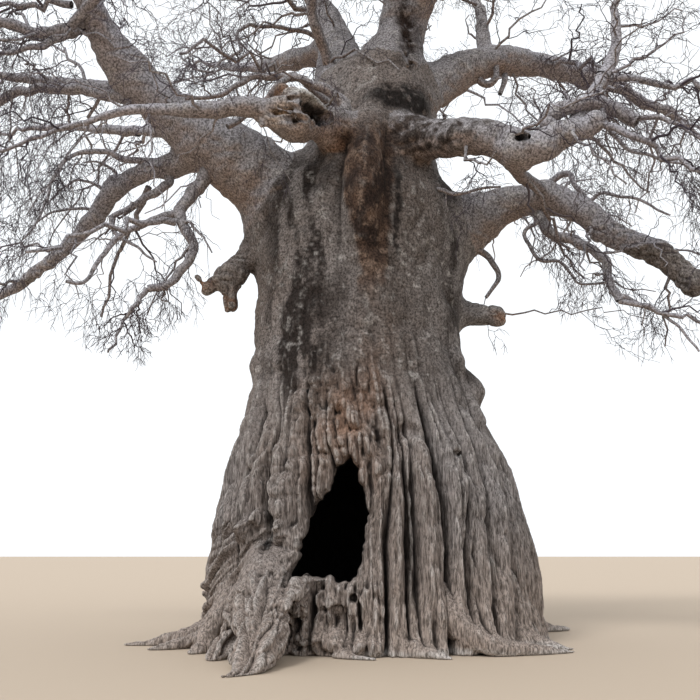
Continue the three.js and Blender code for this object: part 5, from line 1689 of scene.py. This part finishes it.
def ring_round(forward, guide, sides):
    """The directions of a ring's corners, square to each way forward. The first is nearest to the guide."""
    across = unit(guide - forward * (guide * forward).sum(-1, keepdims=True))
    other = np.cross(forward, across)
    turns = np.arange(sides) / sides * 2 * math.pi
    return across[..., None, :] * np.cos(turns)[:, None] + other[..., None, :] * np.sin(turns)[:, None]


def grid_corners(points):
    """The four corners of each face between the rings of a grid of points."""
    index = np.arange(points[..., 0].size).reshape(points.shape[:-1])
    a, b = index[..., :-1, :], np.roll(index[..., :-1, :], -1, axis=-1)
    c, d = index[..., 1:, :], np.roll(index[..., 1:, :], -1, axis=-1)
    return a, b, c, d


def tubes(starts, ways, lengths, bends, roots, tips, steps, sides, crook, seeds):
    """Many arcs of one kind swept as open tubes. Returns their points, their triangles and the arcs."""
    t = np.linspace(0, 1, steps + 1)[None, :, None]
    arc = starts[:, None] + lengths[:, None, None] * (t * ways[:, None] + t * t * bends[:, None])
    places = np.arange(steps + 1)[None, :]
    jitter = np.stack([chance(seeds[:, None] + 0.31 * axis, places) for axis in range(3)], -1)
    window = np.minimum(1, 3 * t)
    arc = arc + crook * lengths[:, None, None] * (jitter - 0.5) * window
    ring = ring_round(unit(np.gradient(arc, axis=1)), across_of(unit(ways + bends * 0.5))[:, None], sides)
    radius = roots[:, None] + (tips - roots)[:, None] * t[..., 0] ** 0.8
    points = arc[:, :, None] + radius[:, :, None, None] * ring
    a, b, c, d = grid_corners(points)
    faces = np.concatenate([np.stack([a, b, d], -1).reshape(-1, 3), np.stack([a, d, c], -1).reshape(-1, 3)])
    return points.reshape(-1, 3), faces, arc


def thin_limbs(limbs, material):
    """The limbs' thinner ends as swept tubes, each from inside the skin of bark to its tip."""
    shapes = []
    for limb in limbs.values():
        end = thick_end(limb)
        if end < 1:
            shapes.append(limb_tube(limb, max(0.0, end - TUBE_OVERLAP / limb.length)))
    tinted_bark("bark_thin_limbs", *joined(shapes), material)


def tinted_bark(name, points, faces, material):
    """A piece of swept limbs in the boughs' bark."""
    normals = vertex_normals(points, faces)
    tints = np.ones((len(points), 4))
    level = np.zeros(len(points))
    tints[:, :3] = bark_tints(points, normals, level, level, level + 1)
    piece = mesh_object(name, points, faces, material, None, tints)
    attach(piece, "root")


def limb_tube(limb, start):
    """One limb between a share of its curve and its tip, with knots and swellings."""
    steps = max(6, int(limb.length * (1 - start) / TUBE_STEP))
    t = np.linspace(start, 1, steps + 1)
    middle = limb.point(t)
    forward = unit(np.gradient(middle, axis=0))
    middle = middle + 0.035 * drift(middle * 3.1, 81)
    ring = ring_round(forward, across_of(unit(middle[-1] - middle[0]))[None, :], TUBE_SIDES)
    swelling = 1 + 0.07 * noise(middle * 1.6, limb.seed) + 0.05 * noise(middle * 3.7, limb.seed + 1)
    radius = limb.radius(t) * swelling
    stem = min(STEM_RADIUS_MAX, STEM_SHARE_OF_TIP * limb.girth[1])
    if not isinstance(limb, CrookedLimb):
        radius = radius + (stem - radius) * ease(TUBE_FROM, 1.0, t)
    points = middle[:, None] + radius[:, None, None] * ring
    points = points + ring * 0.3 * radius[:, None, None] * 0.5 * noise(points * 7, 85)[..., None]
    a, b, c, d = grid_corners(points)
    return points.reshape(-1, 3), np.stack([a, b, d, c], -1).reshape(-1, 4)


# Twigs


def stem_of(row, index, limbs, table):
    """Where a mass's stem stands: its root, its way, its length, sag, radius and seed."""
    name, parent, start, aim, reach, sag = row
    carrier = limbs.get(parent)
    aim = unit(np.array(aim, float))
    if carrier is None:
        root, radius = np.array(start, float), STEM_RADIUS_MAX
    else:
        root = carrier.point(start)
        radius = min(STEM_RADIUS_MAX, STEM_SHARE_OF_TIP * float(carrier.radius(start)))
    if name == "twigs_stump":
        radius = STUMP_TWIG_RADIUS
    stem = Limb(name, root, root + reach * aim, [0, 0, 0], 0.0, [radius, radius], index + 91)
    if start != 1:
        stem.seat = STUMP_SEAT if name == "twigs_stump" else seat_share(stem, carrier, table)
    root = stem.point(stem.seat)
    middle = root + aim * reach * MIDDLE_SHARE - np.array([0, 0, sag * reach / 2])
    return {
        "name": name, "root": root, "aim": aim, "reach": reach, "sag": sag,
        "middle": middle, "radius": radius, "seed": index + 1,
    }


def first_twig(stem):
    """The stem itself, no longer than the crown's lower edge lets it be."""
    while not above_edge((stem["root"] + stem["reach"] * (stem["aim"] - [0, 0, stem["sag"]]))[None, :])[0]:
        stem["reach"] *= 0.9
    return {
        "start": stem["root"][None, :], "way": stem["aim"][None, :],
        "bend": np.array([[0, 0, -stem["sag"]]]), "length": np.array([stem["reach"]]),
        "radius": np.array([stem["radius"]]), "id": np.array([1.0]), "level": 0,
    }


def point_on_arc(arc, t):
    """The point at share t of each bent line of points."""
    steps = arc.shape[1] - 1
    place = np.clip(t * steps, 0, steps - 1e-6)
    low = place.astype(int)
    rows = np.arange(len(arc))
    share = (place - low)[:, None]
    return arc[rows, low] * (1 - share) + arc[rows, low + 1] * share


def side_twigs(parents, arcs, stem, count, level):
    """Side twigs leave their parent by the golden angle, lean away from it and hang or rise with it."""
    turn_number = np.tile(np.arange(count), len(parents["id"]))
    rows = np.repeat(np.arange(len(parents["id"])), count)
    parent_id = parents["id"][rows]
    own_id = parent_id * ID_STEP + turn_number

    def draw(index):
        return chance(stem["seed"] + own_id * SEED_STEP, index)

    t = FIRST_SIDE_TWIG + SIDE_TWIG_SPAN * (turn_number + 0.2 + 0.6 * draw(1)) / count
    tangent = unit(parents["way"][rows] + parents["bend"][rows] * 2 * t[:, None])
    turn = GOLDEN_ANGLE * turn_number + 360 * chance(stem["seed"], parent_id)
    way = leaning(tangent, turn, LEAN_LOW + LEAN_SPAN * draw(2))
    bend = (np.stack([draw(3), draw(4), draw(5)], axis=1) - 0.5) * WANDER
    bend[:, 2] -= stem["sag"] * (SAG_SHARE + DROOP_PER_LEVEL * level)
    spread = 1 + LENGTH_SPREAD * (draw(6) - 0.5)
    length = parents["length"][rows] * LENGTH_RATIO[level] * (LENGTH_AT_ROOT - LENGTH_LOSS * t) * spread
    radius = np.maximum(TWIG_RADIUS_MIN, parents["radius"][rows] * (1 - RADIUS_LOSS * t) * RADIUS_RATIO)
    start = point_on_arc(arcs[rows], t)
    return {
        "start": start, "way": way, "bend": bend, "length": length, "radius": radius,
        "id": own_id, "level": level + 1,
    }


def above_edge(points):
    """Whether points are above the crown's lower edge."""
    nearer = (EDGE_DEPTH - EYE[1]) / (points[:, 1] - EYE[1])
    x = EYE[0] + (points[:, 0] - EYE[0]) * nearer
    height = EYE[2] + (points[:, 2] - EYE[2]) * nearer
    return height > np.interp(x, CROWN_EDGE[:, 0], CROWN_EDGE[:, 1])


def crosses_opening(arcs, draws):
    """Whether an arc is one that the openings leave out, for arcs that each have a drawn number."""
    pixels = picture_of(arcs.reshape(-1, 3)).reshape(*arcs.shape[:2], 2)
    left_out = np.zeros(len(arcs), bool)
    for middle, radius, share in OPENINGS:
        within = np.linalg.norm(pixels - np.array(middle), axis=2).min(axis=1) < radius
        left_out |= within & (draws < share)
    return left_out


class Space:
    """Where a mass's twigs may grow: nearest to its own middle, clear of bark, and in the CAD box."""

    def __init__(self, field, stems):
        self.field = field
        self.middles = np.array([stem["middle"] for stem in stems])
        self.low = np.array(CAD_BOX[0]) + 0.03
        self.high = np.array(CAD_BOX[1]) - 0.03

    def outside_bark(self, points):
        cell = np.round((points - self.field.low) / self.field.voxel).astype(int)
        inside = ((cell >= 0) & (cell < self.field.shape)).all(1)
        clear = np.ones(len(points), bool)
        kept = cell[inside]
        clear[inside] = self.field.values[kept[:, 0], kept[:, 1], kept[:, 2]] > 0.01
        return clear

    def fits(self, arcs, stem, draws):
        points = arcs[:, 1:].reshape(-1, 3)
        fine = ((points > self.low) & (points < self.high)).all(1)
        fine &= self.outside_bark(points) & above_edge(points)
        if stem["middle"] is not None:
            own = np.linalg.norm(points - stem["middle"], axis=1)
            others = np.linalg.norm(points[:, None] - self.middles[None], axis=2)
            nearest = others.min(axis=1)
            fine &= (own < stem["reach"] * SPACE_REACH) & (own < nearest - SPACE_CLEARANCE)
        return fine.reshape(len(arcs), -1).all(axis=1) & ~crosses_opening(arcs, draws)


def pick(twigs, kept):
    return {key: value[kept] if isinstance(value, np.ndarray) else value for key, value in twigs.items()}


def sweep(twigs, stem, sides):
    level = twigs["level"]
    tips = np.maximum(twigs["radius"] * TIP_SHARE, TWIG_RADIUS_MIN * 0.5)
    seeds = stem["seed"] + twigs["id"] * SEED_STEP
    return tubes(
        twigs["start"], twigs["way"], twigs["length"], twigs["bend"], twigs["radius"], tips,
        STEPS_PER_LEVEL[level], sides, CROOK, seeds,
    )


def grow(stem, first, per_level, space):
    """Every twig, level by level, as points and triangles. A side stem that bears no twig is left out."""
    twigs = first
    points, faces, arcs = sweep(twigs, stem, STEM_SIDES)
    if twigs["level"]:
        twigs = pick(twigs, above_edge(arcs[:, -1]))
        points, faces, arcs = sweep(twigs, stem, STEM_SIDES)
    made = [(points, faces)]
    for level, count in enumerate(per_level):
        parents = twigs
        twigs = side_twigs(parents, arcs, stem, count, first["level"] + level)
        sides = FINE_TWIG_SIDES if twigs["level"] > 1 else TWIG_SIDES
        points, faces, arcs = sweep(twigs, stem, sides)
        kept = space.fits(arcs, stem, chance(stem["seed"] + twigs["id"] * SEED_STEP, 8))
        twigs = pick(twigs, kept)
        if first["level"] and not level:
            bearing = kept.reshape(-1, count).any(axis=1)
            made[0] = sweep(pick(parents, bearing), stem, STEM_SIDES)[:2]
        if not len(twigs["id"]):
            break
        points, faces, arcs = sweep(twigs, stem, sides)
        made.append((points, faces))
    return made


# Stems that leave a bough along its way: the bough, the first and last share, how many, their length,
# and how far they hang.
SIDE_STEMS = [
    ["bough_left_great", 0.6, 0.98, 4, 1.7, 0.4],
    ["bough_left_great_outer", 0.15, 0.95, 12, 1.8, 0.25],
    ["bough_left_level", 0.3, 0.95, 7, 1.7, 0.45],
    ["bough_left_rear", 0.3, 0.95, 8, 1.8, 0.4],
    ["bough_left_low", 0.3, 0.9, 2, 1.5, 0.6],
    ["bough_left_low_outer", 0.2, 0.95, 6, 1.8, 0.55],
    ["bough_left_hook", 0.4, 0.97, 4, 1.3, 0.5],
    ["bough_torn", 0.5, 0.95, 3, 1.2, 0.5],
    ["bough_torn_outer", 0.3, 0.95, 6, 1.6, 0.45],
    ["bough_right_front", 0.5, 0.95, 3, 1.6, 0.3],
    ["bough_right_front_outer", 0.3, 0.95, 3, 1.5, 0.4],
    ["bough_right_front_rise", 0.1, 0.95, 9, 1.7, 0.15],
    ["bough_right_great", 0.8, 0.98, 2, 1.3, 0.4],
    ["bough_right_great_middle", 0.2, 0.95, 4, 1.5, 0.45],
    ["bough_right_great_outer", 0.15, 0.95, 8, 1.9, 0.3],
    ["bough_right_hanging", 0.2, 0.95, 6, 1.3, 0.45],
    ["bough_pillar", 0.55, 0.95, 5, 1.4, 0.2],
    ["bough_pillar_left", 0.1, 0.95, 10, 1.6, 0.1],
    ["bough_pillar_right", 0.1, 0.95, 12, 1.8, 0.2],
    ["bough_pillar_front", 0.15, 0.95, 11, 1.7, 0.35],
    ["bough_top_left", 0.25, 0.95, 13, 1.8, 0.2],
    ["bough_upper_right", 0.4, 0.98, 6, 1.8, 0.3],
    ["bough_upper_right_outer", 0.1, 0.95, 9, 1.8, 0.35],
    ["bough_upper_right_rise", 0.15, 0.95, 9, 1.6, 0.1],
    ["bough_back_left", 0.4, 0.97, 18, 1.9, 0.3],
    ["bough_back", 0.45, 0.97, 17, 1.9, 0.35],
    ["bough_back_right", 0.42, 0.97, 17, 1.9, 0.35],
    ["bough_back_high_left", 0.15, 0.95, 15, 1.8, 0.15],
    ["bough_back_high_right", 0.3, 0.95, 15, 1.8, 0.15],
]
SIDE_STEM_LEVELS = [5, 4, 3]
SIDE_LEAN_LOW = 48.0
SIDE_LEAN_SPAN = 26.0
SIDE_RADIUS_MAX = 0.045
SIDE_RADIUS_SHARE = 0.35
SIDE_SEED = 301
SIDE_SEED_STEP = 7

# The side stems of the crooked limbs: first and last share, length on a thin limb and on a thick one, and
# how far they hang.
CROOKED_STEMS = [0.25, 0.98, 1.3, 1.7, 0.45]


def stems_of_crooked():
    """A row as in SIDE_STEMS for each crooked limb that carries twigs."""
    rows = []
    low, high, short, long, sag = CROOKED_STEMS
    for name, _, _, girth, count, _ in CROOKED_LIMBS:
        if count:
            rows.append([name, low, high, count, short if girth[1] < SIDE_RADIUS_MAX else long, sag])
    return rows


def side_stems(row, index, limbs):
    """The first twigs of a bough's side stems, all grown at once."""
    name, low, high, count, reach, sag = row
    limb = limbs[name]
    seed = SIDE_SEED + index * SIDE_SEED_STEP
    number = np.arange(count)
    t = low + (high - low) * (number + 0.3 + 0.4 * chance(seed, number)) / count
    turn = GOLDEN_ANGLE * number + 360 * chance(seed, 77)
    way = leaning(limb.tangent(t), turn, SIDE_LEAN_LOW + SIDE_LEAN_SPAN * chance(seed + 1, number))
    bend = (np.stack([chance(seed + 2 + k, number) for k in range(3)], axis=1) - 0.5) * WANDER * 2
    bend[:, 2] -= sag * 0.8
    length = reach * (0.6 + 0.8 * chance(seed + 5, number))
    radius = np.minimum(SIDE_RADIUS_MAX, SIDE_RADIUS_SHARE * limb.radius(t))
    radius = radius * (0.6 + 0.6 * chance(seed + 6, number))
    first = {
        "start": limb.point(t), "way": way, "bend": bend, "length": length, "radius": radius,
        "id": 1.0 + number * 3, "level": 1,
    }
    return {"name": name, "seed": seed, "sag": sag, "middle": None, "reach": reach}, first


# The pieces that the twigs go into, each with the words that its masses and boughs begin with.
TWIG_GROUPS = {
    "twigs_of_left": ["left_great", "left_level", "left_rear", "left_back", "left_cross", "left_high"],
    "twigs_of_left_low": [
        "left_low", "hook", "left_hook", "left_arch", "left_under", "left_from", "left_knuckle",
    ],
    "twigs_of_front_left": ["torn", "front_left", "above_torn"],
    "twigs_of_right": ["right_front", "right_hump", "right_blunt", "right_out", "right_low"],
    "twigs_of_right_great": [
        "right_great", "right_hanging", "stump", "under_right", "right_crook", "right_short", "curl",
    ],
    "twigs_of_pillar": ["pillar"],
    "twigs_of_top_left": ["top_left", "top_front"],
    "twigs_of_upper_right": ["upper_right"],
    "twigs_of_back": ["back_left", "back", "back_right"],
    "twigs_of_back_high": ["back_high"],
}
TWIG_TINTS = [srgb(78, 70, 77), srgb(66, 59, 66), srgb(94, 86, 89), srgb(76, 66, 69)]


def group_of(name):
    """The twig piece that a mass or a bough's side stems go into: the longest word that fits wins."""
    plain = name.replace("twigs_", "").replace("bough_", "")
    best, found = "", None
    for group, words in TWIG_GROUPS.items():
        for word in words:
            if plain.startswith(word) and len(word) > len(best):
                best, found = word, group
    return found


def build_twigs(field, limbs, table, materials):
    stems = [stem_of(row, index, limbs, table) for index, row in enumerate(MASSES)]
    space = Space(field, stems)
    sprays = [(stem, first_twig(stem), TWIGS_PER_LEVEL, stem["seed"]) for stem in stems]
    for index, row in enumerate(SIDE_STEMS + stems_of_crooked()):
        sprays.append((*side_stems(row, index, limbs), SIDE_STEM_LEVELS, index))
    shapes, nodes, stem_shapes = {}, {}, []
    for stem, first, levels, number in sprays:
        key = (group_of(stem["name"]), number % len(TWIG_TINTS))
        made = grow(stem, first, levels, space)
        stem_shapes.append(made[0])
        shapes.setdefault(key, []).extend(made[1:])
        if stem["name"].startswith("twigs_"):
            nodes.setdefault(key, []).append(stem["name"])
    tinted_bark("bark_twig_stems", *joined(stem_shapes), materials["bough"])
    for (group, tint), parts in sorted(shapes.items()):
        piece = mesh_object(f"{group}_{tint + 1}", *joined(parts), materials[f"twig_{tint + 1}"])
        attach(piece, "root")
        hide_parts(*nodes.get((group, tint), []))


def build_pod(limbs, materials):
    """The one dry fruit: an egg-shaped pod on a thin stalk below the right pillar bough."""
    root = nearest_shown(limbs["bough_pillar_right"], POD_PIXEL)
    top = np.array([root[0] - 0.02, root[1] - 0.1, root[2] - POD_STALK])
    line = Limb("stalk", root, top, [0.03, 0, 0], 0.02, POD_STALK_GIRTH, 7)
    stalk, stalk_faces = limb_tube(line, 0.0)
    turns = np.linspace(0, 2 * math.pi, 25)[:-1]
    levels = np.linspace(0, math.pi, 15)
    across = POD_WIDTH / 2 * np.sin(levels) ** 0.8
    ring = np.stack([np.cos(turns), np.sin(turns), 0 * turns], axis=1)
    pod = across[:, None, None] * ring[None] * (1 + 0.04 * np.cos(POD_RIBS * turns))[None, :, None]
    pod[..., 2] -= (1 - np.cos(levels))[:, None] * POD_LENGTH / 2
    a, b, c, d = grid_corners(pod)
    faces = np.stack([a, c, d, b], -1).reshape(-1, 4)
    pod = pod.reshape(-1, 3) + top + [0, 0, 0.01]
    points, faces = joined([(stalk, stalk_faces), (pod, faces)])
    piece = mesh_object("fruit_pod", points, faces, materials["pod"])
    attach(piece, "root")


# Stage


FLOOR_REACH = 400.0
FLOOR_DROP = 0.004


def build_stage():
    corners = np.array([[-1, -1, 0], [1, -1, 0], [1, 1, 0], [-1, 1, 0]]) * FLOOR_REACH
    corners[:, 2] = -FLOOR_DROP
    material = plain_material("floor_pale", srgb(180, 164, 146), 0.95)
    mesh_object("floor", corners, np.array([[0, 1, 2, 3]]), material)
    world = bpy.data.worlds.new("studio")
    world.use_nodes = True
    sky = world.node_tree.nodes["Background"]
    sky.inputs["Color"].default_value = (0.94, 0.97, 1.0, 1)
    sky.inputs["Strength"].default_value = 1.15
    bpy.context.scene.world = world
    lamp = bpy.data.lights.new("key", "SUN")
    lamp.energy = 1.9
    lamp.angle = math.radians(18)
    key = bpy.data.objects.new("key", lamp)
    key.rotation_euler = Euler((math.radians(44), 0, math.radians(-38)))
    bpy.context.scene.collection.objects.link(key)
    bpy.context.scene.view_settings.view_transform = "Standard"


def build_camera():
    camera = bpy.data.cameras.new("camera")
    camera.sensor_width = 36
    camera.lens = 36 * FOCAL / (2 * PICTURE_MIDDLE)
    camera.clip_end = 1000
    eye = bpy.data.objects.new("camera", camera)
    eye.location = EYE
    eye.rotation_euler = (math.radians(90 + EYE_TILT), 0, 0)
    bpy.context.scene.collection.objects.link(eye)
    bpy.context.scene.camera = eye


def main():
    table = BarkTable()
    limbs = plant_boughs()
    plant_crooked(limbs)
    spurs = plant_spurs()
    materials = {
        "trunk": bark_material("trunk_bark", True),
        "bough": bark_material("bough_bark", False),
        "pod": plain_material("fruit_pod", srgb(112, 92, 70)),
    }
    for index, tint in enumerate(TWIG_TINTS):
        materials[f"twig_{index + 1}"] = plain_material(f"twig_{index + 1}", tint)
    front = build_field(table, limbs, spurs, FRONT_BOX, FRONT_VOXEL)
    field = build_field(table, limbs, spurs, FIELD_BOX, VOXEL)
    build_bark(front, field, table, limbs, materials)
    thin_limbs(limbs, materials["bough"])
    build_twigs(field, limbs, table, materials)
    build_pod(limbs, materials)
    build_stage()
    build_camera()


main()
